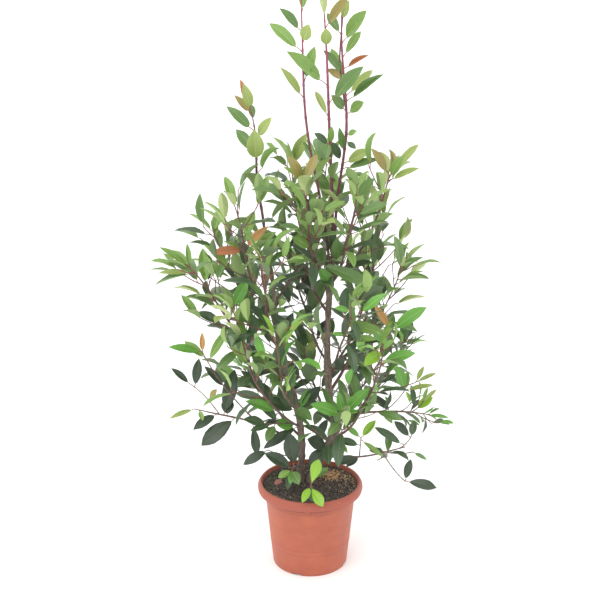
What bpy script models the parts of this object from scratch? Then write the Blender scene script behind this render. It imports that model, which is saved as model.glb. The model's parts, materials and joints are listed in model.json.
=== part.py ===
"""An evergreen shrub with glossy oval leaves, in its round nursery pot.

Two stems stand on the soil of the pot. Boughs leave the stems, and each bough or stem ends in a
mass of leafy twigs. Metres, +Z up, origin in the middle of the pot's flat underside.
Bearings are in degrees from +X, and 90 is +Y, the rear.
"""

import math
from typing import NamedTuple

import bmesh
import bpy
import numpy as np
from mathutils import Matrix, Vector
from mathutils.bvhtree import BVHTree

# Gap between solids that touch on the real plant
GAP = 0.0004
MERGE = 0.000002
SMOOTH_ANGLE = 40
PATH_POINTS = 60

# Pot: radii and heights of its turned wall
POT_HEIGHT = 0.229
POT_SIDES = 30
RIM_RADIUS = 0.140
RIM_INNER_RADIUS = 0.1274
RIM_DEPTH = 0.025
RIM_ROUND = (0.0065, 0.011)  # width and depth of the rounding from the crest to the widest ring
RIM_DRAW_IN = 0.004  # how far the rim narrows towards its lower edge
RIM_EDGE = 0.002  # chamfer of the rim's inner and lower edges
BODY_TOP_RADIUS = 0.1185
BASE_RADIUS = 0.099
WALL = 0.003
SHOULDER_HEIGHT = 0.188
SHOULDER_STEP = 0.004
SHOULDER_SLOPE = 0.002
BAND_HEIGHTS = (0.063, 0.072)
BAND_PROUD = 0.0006
BAND_EDGE = 0.001
FOOT_EDGE = 0.0015
FLOOR_LIFT = 0.006
FOOT_DISC_RADIUS = 0.045
FOOT_DISC_SLOPE = 0.002
NOTCH_COUNT = 4
NOTCH_WIDTH = 0.023
NOTCH_HEIGHT = 0.005
NOTCH_DEPTH = 0.016
NOTCH_BEARING = -110.5

# Soil: nearly level, a little higher where the stems stand
SOIL_EDGE = 0.2190
SOIL_TOP = 0.2205
SOIL_FLAT_RADIUS = 0.048

# Stems: height, x, y and radius, from the flat cut on the soil to the tip
TRUNK = (
    (SOIL_TOP + GAP, 0.006, 0.012, 0.0108),
    (0.232, 0.006, 0.012, 0.0107),
    (0.300, 0.034, 0.012, 0.0103),
    (0.362, 0.063, 0.010, 0.0100),
    (0.406, 0.062, 0.008, 0.0096),
    (0.450, 0.051, 0.006, 0.0093),
    (0.539, 0.044, 0.004, 0.0088),
    (0.640, 0.043, 0.004, 0.0079),
    (0.740, 0.047, 0.006, 0.0072),
    (0.800, 0.051, 0.007, 0.0073),
    (0.824, 0.053, 0.008, 0.0097),
    (0.836, 0.053, 0.008, 0.0112),
)
SECOND_STEM = (
    (SOIL_TOP + GAP, -0.027, 0.020, 0.0090),
    (0.232, -0.027, 0.020, 0.0089),
    (0.300, -0.022, 0.018, 0.0084),
    (0.358, -0.024, 0.015, 0.0079),
    (0.431, -0.035, 0.012, 0.0073),
    (0.528, -0.060, 0.008, 0.0066),
    (0.665, -0.086, -0.002, 0.0056),
    (0.791, -0.097, -0.010, 0.0048),
    (0.875, -0.112, -0.018, 0.0040),
)
STEM_SIDES = 10
STEM_FOOT_RINGS = (0.0, 0.006, 0.014, 0.030)  # metres from the flat cut
STEM_RINGS = 13
STEM_FIRST_RING = 0.09  # share of the length
STEM_LAST_RING = 0.010  # metres short of the tip
FLARE = 0.0045
FLARE_HEIGHT = 0.011
FOOT_STRAIGHT = 0.007
FORK_SPREAD = 0.0078

# Boughs and twigs
BOUGH_SIDES = 6
TWIG_SIDES = 3
HANDLE_SHARE = 0.36
SWAY_SHARE = 0.012
TIP_RADIUS = 0.0020
BOUGH_TAPER = 0.66
BOUGH_SPACING = 0.060
TWIG_SPACING = 0.085
GOLDEN_ANGLE = 137.5
HULL_RINGS = 10
HULL_SIDES = 6

# Side shoots of a mass's stem: shares are of that stem's length
SHOOT_RADIUS = 0.0024
FIRST_SHOOT = 0.10  # past the bare share
LAST_SHOOT = 0.74
SHOOT_LEAVING_ANGLE = 48
SHOOT_LIFT = 0.225  # rise by its own upturn, as a share of its length
SHOOT_TURN = 60  # of the first shoot about the stem, past the limb's bearing
SHOOT_TURN_JITTER = 15
SHOOT_SIZES = (0.8, 1.15)
SHOOT_LOW_SIZE = 1.1
SHOOT_SIZE_LOSS = 0.5
SHOOT_BARE = 0.30  # share of the shoot before its first leaf

# Leaves: shares are of the leaf's own length, its stalk included
LEAF_LENGTH = 0.094
LEAF_SPACING = 0.045
LEAF_WIDTH_SHARE = 0.44
LEAF_WIDEST_SHARE = 0.56
LEAF_FOLD_SHARE = 0.045
LEAF_KEEL_SHARE = 0.012
LEAF_STALK_SHARE = 0.005
LEAF_TIP_DROOP = 0.05
LEAF_FACES = ((0, 2, 1), (3, 4, 5), (0, 1, 4, 3), (1, 2, 5, 4), (2, 0, 3, 5))
LEAF_CLEARANCE = 0.0012
LEAF_ROOT_SHARE = 0.26
ROOT_OFFSET = 0.25
LEAF_TRIES = 4
RETRY_TURN = 57
FIRST_LEAF = 0.015
LAST_SPIRAL_LEAF = 0.93  # share of the shoot
TUFT = (0.985, 1.0)  # shares of the shoot where its last leaves stand
LEAF_TURN_JITTER = 18
LOW_ANGLE = 62
TIP_ANGLE = 26
ANGLE_JITTER = 8
LEAF_SIZES = (0.80, 1.10)
TIP_SIZE_LOSS = 0.22

# How a leaf's upper side faces: its shares of up and of the shoot's run, and their spread
FACING_UP = 0.75
FACING_RUN = 0.45
FACING_SPREAD = 0.22

# Low leaves hang and high ones lift a little
HANGING_BELOW = 0.58
HANGING_DEPTH = 0.20
HANGING_LIMITS = (-0.25, 1)
HANGING = 0.40


class Limb(NamedTuple):
    """A bough with the mass of foliage at its end, or a mass that starts at its parent."""

    name: str
    parent: str
    leaves_at: float  # height on the parent's axis
    bearing: float  # of the tip, seen from the pot's axis
    reach: float  # of the tip, from the pot's axis
    height: float  # of the tip
    rise: float  # degrees above level where the limb leaves its parent
    end_rise: float  # degrees above level at the tip
    radius: float
    bough: float  # share of the length that is a bare bough, 0 for none
    bare: float  # share of the mass's stem before its first leaf
    shoots: int
    shoot_length: float
    tint: str


LIMBS = (
    Limb("leader_left", "fork", -1, -133, 0.037, 1.485, 80, 92, 0.0034, 0, 0.12, 2, 0.09, "bronze"),
    Limb("leader_middle", "fork", 0, 10, 0.026, 1.470, 90, 86, 0.0040, 0, 0.24, 1, 0.06, "bronze"),
    Limb("leader_right", "fork", 1, 22, 0.080, 1.480, 81, 96, 0.0035, 0, 0.12, 2, 0.11, "bronze"),
    Limb("upper_left", "second_stem", 0, -160, 0.150, 1.200, 78, 80, 0.0034, 0, 0.04, 2, 0.09, "bronze"),
    Limb("upper_left_rear", "trunk", 0.690, 112, 0.125, 1.050, 38, 80, 0.0040, 0.45, 0.05, 3, 0.09, "fresh"),
    Limb("upper_right", "trunk", 0.785, -8, 0.190, 1.045, 30, 76, 0.0040, 0.34, 0.05, 3, 0.10, "bronze"),
    Limb("upper_front", "trunk", 0.745, -97, 0.150, 1.045, 42, 80, 0.0036, 0, 0.16, 4, 0.10, "fresh"),
    Limb("upper_right_front", "trunk", 0.765, -52, 0.170, 1.040, 38, 76, 0.0038, 0, 0.20, 3, 0.09, "fresh"),
    Limb("upper_rear", "trunk", 0.715, 77, 0.185, 1.040, 36, 78, 0.0040, 0.40, 0.05, 3, 0.11, "fresh"),
    Limb("mid_left", "second_stem", 0.515, -174, 0.300, 0.820, 24, 50, 0.0042, 0.42, 0.05, 4, 0.10, "fresh"),
    Limb("mid_left_rear", "second_stem", 0.600, 158, 0.270, 0.880, 26, 58, 0.0040, 0.38, 0.05, 4, 0.10, "fresh"),
    Limb("mid_left_front", "second_stem", 0.690, -146, 0.215, 0.985, 32, 72, 0.0038, 0.34, 0.05, 3, 0.10, "fresh"),
    Limb("front_left", "second_stem", 0.560, -120, 0.240, 0.890, 30, 70, 0.0038, 0.34, 0.05, 3, 0.10, "mid"),
    Limb("front_left_low", "second_stem", 0.420, -112, 0.235, 0.700, 26, 70, 0.0034, 0, 0.20, 3, 0.10, "mid"),
    Limb("red_shoot", "second_stem", 0.375, -143, 0.235, 0.745, 32, 76, 0.0033, 0, 0.28, 3, 0.09, "lime"),
    Limb("low_left_upper", "low_left", 0.385, -172, 0.275, 0.600, 48, 66, 0.0027, 0.30, 0.05, 3, 0.09, "dark"),
    Limb("low_left", "second_stem", 0.325, -177, 0.300, 0.438, 34, 14, 0.0040, 0.48, 0.05, 3, 0.10, "dark"),
    Limb("low_left_front", "second_stem", 0.290, -148, 0.225, 0.385, 34, -10, 0.0032, 0, 0.25, 2, 0.08, "dark"),
    Limb("front_right", "trunk", 0.545, -66, 0.225, 0.780, 26, 70, 0.0038, 0.40, 0.05, 3, 0.10, "mid"),
    Limb("tall_right", "trunk", 0.475, 24, 0.208, 0.925, 42, 72, 0.0045, 0.46, 0.05, 3, 0.11, "fresh"),
    Limb("mid_right", "tall_right", 0.625, -12, 0.228, 0.825, 26, 64, 0.0027, 0.25, 0.05, 3, 0.10, "fresh"),
    Limb("low_right_front", "trunk", 0.345, -43, 0.235, 0.665, 30, 80, 0.0040, 0.40, 0.05, 3, 0.10, "lime"),
    Limb("low_right", "trunk", 0.385, 5, 0.312, 0.405, 34, -8, 0.0042, 0.45, 0.05, 3, 0.10, "mid"),
    Limb("low_right_upper", "low_right", 0.410, 3, 0.238, 0.620, 58, 80, 0.0027, 0.24, 0.05, 3, 0.09, "fresh"),
    Limb("lowest_right", "trunk", 0.292, -14, 0.250, 0.352, 4, 26, 0.0036, 0.45, 0.05, 2, 0.08, "mid"),
    Limb("droop_right", "lowest_right", 0.299, -14, 0.266, 0.281, -6, -44, 0.0024, 0, 0.45, 0, 0.05, "dark"),
    Limb("centre_front", "trunk", 0.318, -58, 0.150, 0.470, 24, 66, 0.0030, 0, 0.25, 3, 0.09, "mid"),
    Limb("inner_top", "second_stem", 0.720, 88, 0.060, 0.950, 38, 78, 0.0034, 0, 0.20, 3, 0.10, "mid"),
    Limb("inner_rear", "trunk", 0.560, 108, 0.140, 0.790, 34, 70, 0.0034, 0, 0.22, 4, 0.10, "dark"),
    Limb("inner_low", "trunk", 0.385, 98, 0.108, 0.560, 26, 74, 0.0032, 0, 0.20, 4, 0.10, "dark"),
    Limb("rear_left", "second_stem", 0.465, 120, 0.270, 0.790, 30, 68, 0.0042, 0.40, 0.05, 4, 0.11, "mid"),
    Limb("rear_right", "trunk", 0.510, 52, 0.280, 0.750, 26, 62, 0.0042, 0.42, 0.05, 4, 0.11, "mid"),
    Limb("low_rear_left", "second_stem", 0.345, 133, 0.270, 0.480, 24, 40, 0.0038, 0.45, 0.05, 4, 0.11, "dark"),
    Limb("low_rear_right", "trunk", 0.415, 43, 0.285, 0.520, 20, 44, 0.0038, 0.45, 0.05, 4, 0.11, "dark"),
    Limb("foot_left", "second_stem", 0.256, -128, 0.078, 0.288, 34, 0, 0.0026, 0, 0.35, 0, 0.05, "mid"),
    Limb("foot_front", "trunk", 0.238, -90, 0.118, 0.269, 50, -20, 0.0026, 0, 0.45, 0, 0.05, "lime"),
)

COLORS = {
    "terracotta": ((0.585, 0.172, 0.108), 0.55),
    "soil": ((0.035, 0.022, 0.014), 0.95),
    "bark": ((0.150, 0.100, 0.078), 0.85),
    "dark": ((0.045, 0.100, 0.042), 0.35),
    "mid": ((0.110, 0.215, 0.065), 0.35),
    "fresh": ((0.210, 0.350, 0.100), 0.35),
    "lime": ((0.230, 0.480, 0.040), 0.35),
    "bronze": ((0.330, 0.330, 0.120), 0.35),
}
UP = np.array((0.0, 0.0, 1.0))


def clear_scene():
    for obj in list(bpy.data.objects):
        bpy.data.objects.remove(obj)


def new_collection(name):
    collection = bpy.data.collections.new(name)
    bpy.context.scene.collection.children.link(collection)
    return collection


def material(name):
    color, roughness = COLORS[name]
    made = bpy.data.materials.new(name)
    made.use_nodes = True
    shader = made.node_tree.nodes["Principled BSDF"]
    shader.inputs["Base Color"].default_value = (*color, 1)
    shader.inputs["Roughness"].default_value = roughness
    shader.inputs["Metallic"].default_value = 0
    made.diffuse_color = (*color, 1)
    return made


def unit(vector):
    return vector / np.linalg.norm(vector)


def level_direction(bearing, rise=0.0):
    """The unit vector with this bearing that climbs at this angle, both in degrees."""
    b, r = math.radians(bearing), math.radians(rise)
    return np.array((math.cos(b) * math.cos(r), math.sin(b) * math.cos(r), math.sin(r)))


def across(direction):
    """Two unit vectors square to the direction and to each other."""
    side = np.cross(direction, UP if abs(direction[2]) < 0.95 else np.array((0.0, 1.0, 0.0)))
    side = unit(side)
    return side, np.cross(side, direction)


def at_shares(path, shares):
    """Points on a dense path at these shares of its length."""
    steps = np.linalg.norm(np.diff(path, axis=0), axis=1)
    run = np.concatenate(([0.0], np.cumsum(steps)))
    shares = np.atleast_1d(shares) * run[-1]
    return np.stack([np.interp(shares, run, path[:, axis]) for axis in range(3)], axis=1)


def length_of(path):
    return float(np.linalg.norm(np.diff(path, axis=0), axis=1).sum())


def heading(path, share):
    """The unit vector along the path at a share of its length."""
    ends = at_shares(path, [max(share - 0.01, 0), min(share + 0.01, 1)])
    return unit(ends[1] - ends[0])


def bezier(p0, p1, p2, p3):
    t = np.linspace(0, 1, PATH_POINTS)[:, None]
    return (1 - t) ** 3 * p0 + 3 * t * (1 - t) ** 2 * p1 + 3 * t**2 * (1 - t) * p2 + t**3 * p3


def through(stations):
    """A smooth dense path through a stem's stations, and the radius along it."""
    rows = np.array(stations)
    padded = np.vstack((2 * rows[0] - rows[1], rows, 2 * rows[-1] - rows[-2]))
    at = np.linspace(0, len(rows) - 1, 2 * PATH_POINTS)
    i = np.minimum(at.astype(int), len(rows) - 2)
    t = (at - i)[:, None]
    a, b, c, d = padded[i], padded[i + 1], padded[i + 2], padded[i + 3]
    smooth = 0.5 * (2 * b + (c - a) * t + (2 * a - 5 * b + 4 * c - d) * t**2 + (3 * b - a - 3 * c + d) * t**3)
    return smooth[:, [1, 2, 0]], smooth[:, 3]


def spline(points, radii, thickest):
    """A curve data block of one straight-sided spline, its radii given as shares of the thickest."""
    data = bpy.data.curves.new("limb", "CURVE")
    data.dimensions = "3D"
    data.use_fill_caps = True
    line = data.splines.new("POLY")
    line.points.add(len(points) - 1)
    for knot, point, radius in zip(line.points, points, radii):
        knot.co = (*point, 1)
        knot.radius = radius / thickest
    return data


def tube(name, points, radii, sides):
    """A tapering round limb as a closed mesh, with flat ends square to its run."""
    thickest = max(radii)
    data = spline(points, radii, thickest)
    if sides == TWIG_SIDES:
        data.bevel_mode = "OBJECT"
        data.bevel_object = triangle_outline(thickest)
    else:
        data.bevel_depth = thickest
        data.bevel_resolution = sides // 2 - 2
    curve = bpy.data.objects.new(name, data)
    bpy.context.scene.collection.objects.link(curve)
    made = as_mesh(curve)
    if data.bevel_object:
        bpy.data.objects.remove(data.bevel_object)
    bpy.data.objects.remove(curve)
    made.name = name
    return made


def triangle_outline(radius):
    """The three-sided section of a twig, a closed curve round its middle."""
    data = bpy.data.curves.new("twig_section", "CURVE")
    line = data.splines.new("POLY")
    line.points.add(TWIG_SIDES - 1)
    line.use_cyclic_u = True
    for corner, knot in enumerate(line.points):
        turn = math.tau * corner / TWIG_SIDES
        knot.co = (radius * math.cos(turn), radius * math.sin(turn), 0, 1)
    outline = bpy.data.objects.new("twig_section", data)
    bpy.context.scene.collection.objects.link(outline)
    return outline


def as_mesh(obj):
    """A mesh object of the evaluated shape, its loose caps welded on and facing out."""
    bpy.context.view_layer.update()
    graph = bpy.context.evaluated_depsgraph_get()
    mesh = bpy.data.meshes.new_from_object(obj.evaluated_get(graph))
    bm = bmesh.new()
    bm.from_mesh(mesh)
    bmesh.ops.remove_doubles(bm, verts=bm.verts, dist=MERGE)
    bmesh.ops.recalc_face_normals(bm, faces=bm.faces)
    bm.to_mesh(mesh)
    bm.free()
    made = bpy.data.objects.new(obj.name, mesh)
    made.matrix_world = obj.matrix_world
    return made


def smooth_shade(obj):
    obj.data.shade_smooth()
    obj.data.set_sharp_from_angle(angle=math.radians(SMOOTH_ANGLE))


def finish(obj, look, collection, parent=None):
    """Puts an object in its collection with its material and its parent."""
    for holder in list(obj.users_collection):
        holder.objects.unlink(obj)
    collection.objects.link(obj)
    obj.data.materials.clear()
    obj.data.materials.append(look)
    obj.parent = parent
    return obj


def cutter(obj, collection):
    collection.objects.link(obj)
    obj.hide_render = True
    obj.display_type = "WIRE"
    return obj


def cut(obj, tool):
    difference = obj.modifiers.new("cut_by_" + tool.name, "BOOLEAN")
    difference.operation = "DIFFERENCE"
    difference.object = tool


def turned(name, profile):
    """A solid turned about the Z axis from a profile of radii and heights."""
    mesh = bpy.data.meshes.new(name)
    bm = bmesh.new()
    corners = [bm.verts.new((radius, 0, height)) for radius, height in profile]
    for start, end in zip(corners, corners[1:]):
        bm.edges.new((start, end))
    bm.to_mesh(mesh)
    bm.free()
    obj = bpy.data.objects.new(name, mesh)
    screw = obj.modifiers.new("turn", "SCREW")
    screw.steps = screw.render_steps = POT_SIDES
    screw.use_merge_vertices = True
    screw.merge_threshold = 0.0001
    return obj


def body_radius(height):
    """Outer radius of the pot's tapering wall below the shoulder."""
    return BASE_RADIUS + (BODY_TOP_RADIUS - BASE_RADIUS) * height / SHOULDER_HEIGHT


def pot_outside():
    """The outer wall from the crest of the rim down to the foot."""
    width, depth = RIM_ROUND
    rim = []
    for degrees in (90, 45, 0):
        turn = math.radians(degrees)
        radius = RIM_RADIUS - width * (1 - math.cos(turn))
        rim.append((radius, POT_HEIGHT - depth * (1 - math.sin(turn))))
    lip = POT_HEIGHT - RIM_DEPTH
    neck = BODY_TOP_RADIUS + SHOULDER_STEP
    low, high = BAND_HEIGHTS
    return rim + [
        (RIM_RADIUS - RIM_DRAW_IN + RIM_EDGE, lip + RIM_EDGE),
        (RIM_RADIUS - RIM_DRAW_IN, lip),
        (neck, lip),
        (neck, SHOULDER_HEIGHT + SHOULDER_SLOPE),
        (BODY_TOP_RADIUS, SHOULDER_HEIGHT),
        (body_radius(high + BAND_EDGE), high + BAND_EDGE),
        (body_radius(high) + BAND_PROUD, high),
        (body_radius(low) + BAND_PROUD, low),
        (body_radius(low - BAND_EDGE), low - BAND_EDGE),
        (BASE_RADIUS, FOOT_EDGE),
        (BASE_RADIUS - FOOT_EDGE, 0.0),
    ]


def pot_inside(shrink=0.0):
    """The inner wall from the crest of the rim down to the middle of the floor, drawn in by a gap."""
    neck = BODY_TOP_RADIUS + SHOULDER_STEP - WALL
    floor = FLOOR_LIFT + WALL
    return [
        (RIM_INNER_RADIUS + RIM_EDGE - shrink, POT_HEIGHT - shrink),
        (RIM_INNER_RADIUS - shrink, POT_HEIGHT - RIM_EDGE),
        (neck - shrink, POT_HEIGHT - RIM_DEPTH),
        (neck - shrink, SHOULDER_HEIGHT + SHOULDER_SLOPE),
        (BODY_TOP_RADIUS - WALL - shrink, SHOULDER_HEIGHT),
        (body_radius(floor) - WALL - shrink, floor + shrink),
        (FOOT_DISC_RADIUS + FOOT_DISC_SLOPE - shrink, floor + shrink),
        (FOOT_DISC_RADIUS - WALL - shrink, WALL + shrink),
        (0.0, WALL + shrink),
    ]


def make_pot(parts, cutters, look):
    underside = [
        (BASE_RADIUS - WALL, 0.0),
        (BASE_RADIUS - WALL, FLOOR_LIFT),
        (FOOT_DISC_RADIUS + FOOT_DISC_SLOPE, FLOOR_LIFT),
        (FOOT_DISC_RADIUS, 0.0),
        (0.0, 0.0),
    ]
    profile = pot_inside()[::-1] + pot_outside() + underside
    pot = finish(turned("pot", profile), look, parts)
    for number in range(NOTCH_COUNT):
        bearing = NOTCH_BEARING + number * 360 / NOTCH_COUNT
        bm = bmesh.new()
        bmesh.ops.create_cube(bm, size=1)
        mesh = bpy.data.meshes.new("drain_notch")
        bm.to_mesh(mesh)
        bm.free()
        notch = cutter(bpy.data.objects.new(f"drain_notch_{number + 1}", mesh), cutters)
        place = level_direction(bearing) * BASE_RADIUS
        turn = Matrix.Rotation(math.radians(bearing), 4, "Z")
        size = Matrix.Diagonal((NOTCH_DEPTH, NOTCH_WIDTH, 2 * NOTCH_HEIGHT, 1))
        mesh.transform(Matrix.Translation(Vector(place)) @ turn @ size)
        cut(pot, notch)
    return pot


def make_soil(parts, pot, look):
    """The soil fills the pot and is level where the stems stand."""
    wall = np.array(pot_inside(GAP))
    edge = float(np.interp(SOIL_EDGE, wall[::-1, 1], wall[::-1, 0]))
    below = [(radius, height) for radius, height in wall.tolist() if height < SOIL_EDGE]
    profile = [(0.0, SOIL_TOP), (SOIL_FLAT_RADIUS, SOIL_TOP), (edge, SOIL_EDGE)] + below
    return finish(turned("soil", profile), look, parts, pot)


class Grown(NamedTuple):
    """A limb's dense path, the object made from it, and the cutter that clears its children's feet."""

    path: np.ndarray
    node: bpy.types.Object
    tool: bpy.types.Object


def flared(path, radii):
    """Radii with the root flare of a stem on the soil."""
    lift = path[:, 2] - path[0, 2]
    return radii + FLARE * np.exp(-lift / FLARE_HEIGHT)


def limb_body(name, path, radii, shares, sides):
    points = at_shares(path, shares)
    along = np.interp(shares, np.linspace(0, 1, len(radii)), radii)
    return tube(name, points, along, sides)


def make_stem(name, stations, parts, cutters, soil, look):
    path, radii = through(stations)
    path[path[:, 2] < path[0, 2] + FOOT_STRAIGHT, :2] = path[0, :2]
    radii = flared(path, radii)
    foot = np.array(STEM_FOOT_RINGS) / length_of(path)
    last = 1 - STEM_LAST_RING / length_of(path)
    shares = np.concatenate((foot, np.linspace(STEM_FIRST_RING, last, STEM_RINGS), [1.0]))
    node = finish(limb_body(name, path, radii, shares, STEM_SIDES), look, parts, soil)
    smooth_shade(node)
    tool = cutter(limb_body(name + "_clearance", path, radii + GAP, shares, STEM_SIDES), cutters)
    return Grown(path, node, tool)


def foot_of(limb, stems):
    """Where the limb starts: on its parent's axis, at the fork, or past the end of its parent.

    At the fork, leaves_at is the leader's place: -1 left, 0 middle, 1 right. A tilted leader starts
    a little higher, so that the low side of its end stays clear.
    """
    if limb.parent == "fork":
        top = stems["trunk"].path[-1]
        tilt = limb.radius * math.cos(math.radians(limb.rise))
        return top + np.array((FORK_SPREAD * limb.leaves_at, 0.0, GAP + tilt))
    path = stems[limb.parent].path
    if not limb.leaves_at:
        return path[-1] + 1.5 * GAP * heading(path, 1.0)
    higher = int(np.argmax(path[:, 2] > limb.leaves_at))
    low, high = path[higher - 1], path[higher]
    return low + (high - low) * (limb.leaves_at - low[2]) / (high[2] - low[2])


def limb_path(limb, foot):
    """A curve from the foot to the tip that leaves and arrives at the limb's two rises."""
    tip = level_direction(limb.bearing) * limb.reach + UP * limb.height
    out = tip - foot
    bearing = math.degrees(math.atan2(out[1], out[0]))
    handle = HANDLE_SHARE * np.linalg.norm(out)
    leaving = level_direction(bearing, limb.rise)
    arriving = level_direction(bearing, limb.end_rise)
    path = bezier(foot, foot + handle * leaving, tip - handle * arriving, tip)
    sway = SWAY_SHARE * np.linalg.norm(out) * np.sin(3 * np.pi * np.linspace(0, 1, len(path)))
    return path + sway[:, None] * level_direction(bearing + 90)


def make_bough(limb, stems, parts, cutters, look):
    """The bare part of a limb: a tapering tube whose foot follows its parent's surface."""
    whole = limb_path(limb, foot_of(limb, stems))
    path = at_shares(whole, np.linspace(0, limb.bough, PATH_POINTS))
    radii = np.linspace(limb.radius, limb.radius * BOUGH_TAPER, PATH_POINTS)
    count = max(4, round(length_of(path) / BOUGH_SPACING) + 1)
    shares = np.linspace(0, 1, count)
    parent = stems[limb.parent]
    body = limb_body("bough_" + limb.name, path, radii, shares, BOUGH_SIDES)
    node = finish(body, look, parts, parent.node)
    cut(node, parent.tool)
    smooth_shade(node)
    tool = None
    if any(other.parent == limb.name for other in LIMBS):
        wider = limb_body(node.name + "_clearance", path, radii + GAP, shares, BOUGH_SIDES)
        tool = cutter(wider, cutters)
    return Grown(path, node, tool)


def leaf_cage(extra=0.0):
    """The corners of a leaf of unit length that runs along +Y with its upper side to +Z.

    The first three are the stalk's end, the others the widest places and the tip. The lower edge
    of the folded blade runs from the stalk to the tip.
    """
    half = LEAF_WIDTH_SHARE / 2 + extra
    stalk = LEAF_STALK_SHARE
    fold = LEAF_FOLD_SHARE + extra
    keel = LEAF_KEEL_SHARE + extra
    return np.array(
        (
            (-stalk, 0, stalk / 2),
            (0, 0, -stalk),
            (stalk, 0, stalk / 2),
            (-half, LEAF_WIDEST_SHARE, fold),
            (0, 1 + extra, -LEAF_TIP_DROOP - keel),
            (half, LEAF_WIDEST_SHARE, fold),
        )
    )


def leaf_template():
    """A three-sided prism drawn out to a leaf: one end shrinks to the stalk, the other spreads."""
    bm = bmesh.new()
    bmesh.ops.create_cone(bm, cap_ends=True, segments=3, radius1=1, radius2=1, depth=2)
    stalk_end, blade = np.split(leaf_cage(), 2)
    for corner in bm.verts:
        turn = round(math.atan2(corner.co.y, corner.co.x) / (math.tau / 3)) % 3
        corner.co = blade[turn] if corner.co.z > 0 else stalk_end[turn]
    bmesh.ops.recalc_face_normals(bm, faces=bm.faces)
    mesh = bpy.data.meshes.new("leaf")
    bm.to_mesh(mesh)
    bm.free()
    return mesh


class Leaf(NamedTuple):
    """A leaf's foot on its twig, the way it points, its upper side's normal, and its length."""

    foot: np.ndarray
    along: np.ndarray
    normal: np.ndarray
    length: float

    def matrix(self):
        side = np.cross(self.along, self.normal)
        whole = np.eye(4)
        whole[:3, :3] = np.column_stack((side, self.along, self.normal)) * self.length
        whole[:3, 3] = self.foot
        return whole

    def hull(self, first=0.0):
        """Its corners and faces with the clearance round them, from a share of its length on."""
        rest = self._replace(foot=self.foot + self.along * self.length * first, length=self.length * (1 - first))
        matrix = rest.matrix()
        corners = leaf_cage(LEAF_CLEARANCE / rest.length)
        return corners @ matrix[:3, :3].T + matrix[:3, 3], LEAF_FACES


def leaf_on(path, thick, share, turn, rng):
    """A leaf at a share of a shoot, closer to the shoot's line and smaller towards its tip."""
    spot = at_shares(path, share)[0]
    run = heading(path, share)
    side, other = across(run)
    turn = math.radians(turn + rng.uniform(-LEAF_TURN_JITTER, LEAF_TURN_JITTER))
    spread = LOW_ANGLE + (TIP_ANGLE - LOW_ANGLE) * share**2
    spread = math.radians(spread + rng.uniform(-ANGLE_JITTER, ANGLE_JITTER))
    outward = math.cos(turn) * side + math.sin(turn) * other
    along = math.cos(spread) * run + math.sin(spread) * outward
    hanging = HANGING * np.clip((HANGING_BELOW - spot[2]) / HANGING_DEPTH, *HANGING_LIMITS)
    along = unit(along - UP * hanging * math.sin(spread))
    facing = FACING_UP * UP + FACING_RUN * run + rng.normal(0, FACING_SPREAD, 3)
    normal = unit(facing - along * facing.dot(along))
    size = LEAF_LENGTH * rng.uniform(*LEAF_SIZES) * (1 - TIP_SIZE_LOSS * share**3)
    radius = thick + (TIP_RADIUS - thick) * share
    return Leaf(spot + along * radius * ROOT_OFFSET, along, normal, size)


def leaves_on(path, thick, first, blocked, rng):
    """Leaves in a spiral along a shoot, each turned on until it is clear, or else left out."""
    count = max(2, int(length_of(path) * (1 - first) / LEAF_SPACING))
    shares = np.concatenate((np.linspace(first, LAST_SPIRAL_LEAF, count), TUFT))
    start = rng.uniform(0, 360)
    found = []
    for number, share in enumerate(shares):
        for attempt in range(LEAF_TRIES):
            turn = start + GOLDEN_ANGLE * number + RETRY_TURN * attempt
            leaf = leaf_on(path, thick, share, turn, rng)
            if not blocked(leaf):
                found.append(leaf)
                break
    return found


def side_shoots(limb, stem, rng):
    """Curved twigs that leave the mass's stem in a spiral and turn upwards."""
    found = []
    shares = np.linspace(limb.bare + FIRST_SHOOT, LAST_SHOOT, max(limb.shoots, 1))
    for number, share in enumerate(shares[: limb.shoots]):
        foot = at_shares(stem, share)[0]
        run = heading(stem, share)
        side, other = across(run)
        turn = limb.bearing + SHOOT_TURN + GOLDEN_ANGLE * number
        turn = math.radians(turn + rng.uniform(-SHOOT_TURN_JITTER, SHOOT_TURN_JITTER))
        outward = math.cos(turn) * side + math.sin(turn) * other
        spread = math.radians(SHOOT_LEAVING_ANGLE)
        leaving = math.cos(spread) * run + math.sin(spread) * outward
        size = rng.uniform(*SHOOT_SIZES) * (SHOOT_LOW_SIZE - SHOOT_SIZE_LOSS * share)
        t = np.linspace(0, 1, PATH_POINTS)[:, None]
        found.append(foot + limb.shoot_length * size * (t * leaving + SHOOT_LIFT * t**2 * UP))
    return found


class Obstacles:
    """Surfaces that a new twig or leaf must keep clear of."""

    def __init__(self):
        self.trees = {}

    def add(self, *objects):
        bpy.context.view_layer.update()
        graph = bpy.context.evaluated_depsgraph_get()
        for obj in objects:
            self.trees[obj.name] = BVHTree.FromObject(obj, graph)

    def add_hull(self, name, points, faces):
        self.trees[name] = BVHTree.FromPolygons([Vector(point) for point in points], faces)

    def meets(self, points, faces):
        shape = BVHTree.FromPolygons([Vector(point) for point in points], faces)
        return any(tree.overlap(shape) for tree in self.trees.values())


def twig_hull(path, radius):
    """Six-cornered rings round a twig, thicker than it by the clearance, for the touch test."""
    points = at_shares(path, np.linspace(0, 1, HULL_RINGS))
    rings = []
    for point, nearby in zip(points, np.gradient(points, axis=0)):
        side, other = across(unit(nearby))
        for corner in range(HULL_SIDES):
            turn = math.tau * corner / HULL_SIDES
            offset = math.cos(turn) * side + math.sin(turn) * other
            rings.append(point + offset * (radius + LEAF_CLEARANCE))
    faces = []
    for ring in range(len(points) - 1):
        for corner in range(HULL_SIDES):
            a = ring * HULL_SIDES + corner
            b = ring * HULL_SIDES + (corner + 1) % HULL_SIDES
            faces.append((a, b, b + HULL_SIDES, a + HULL_SIDES))
    return rings, faces


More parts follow.
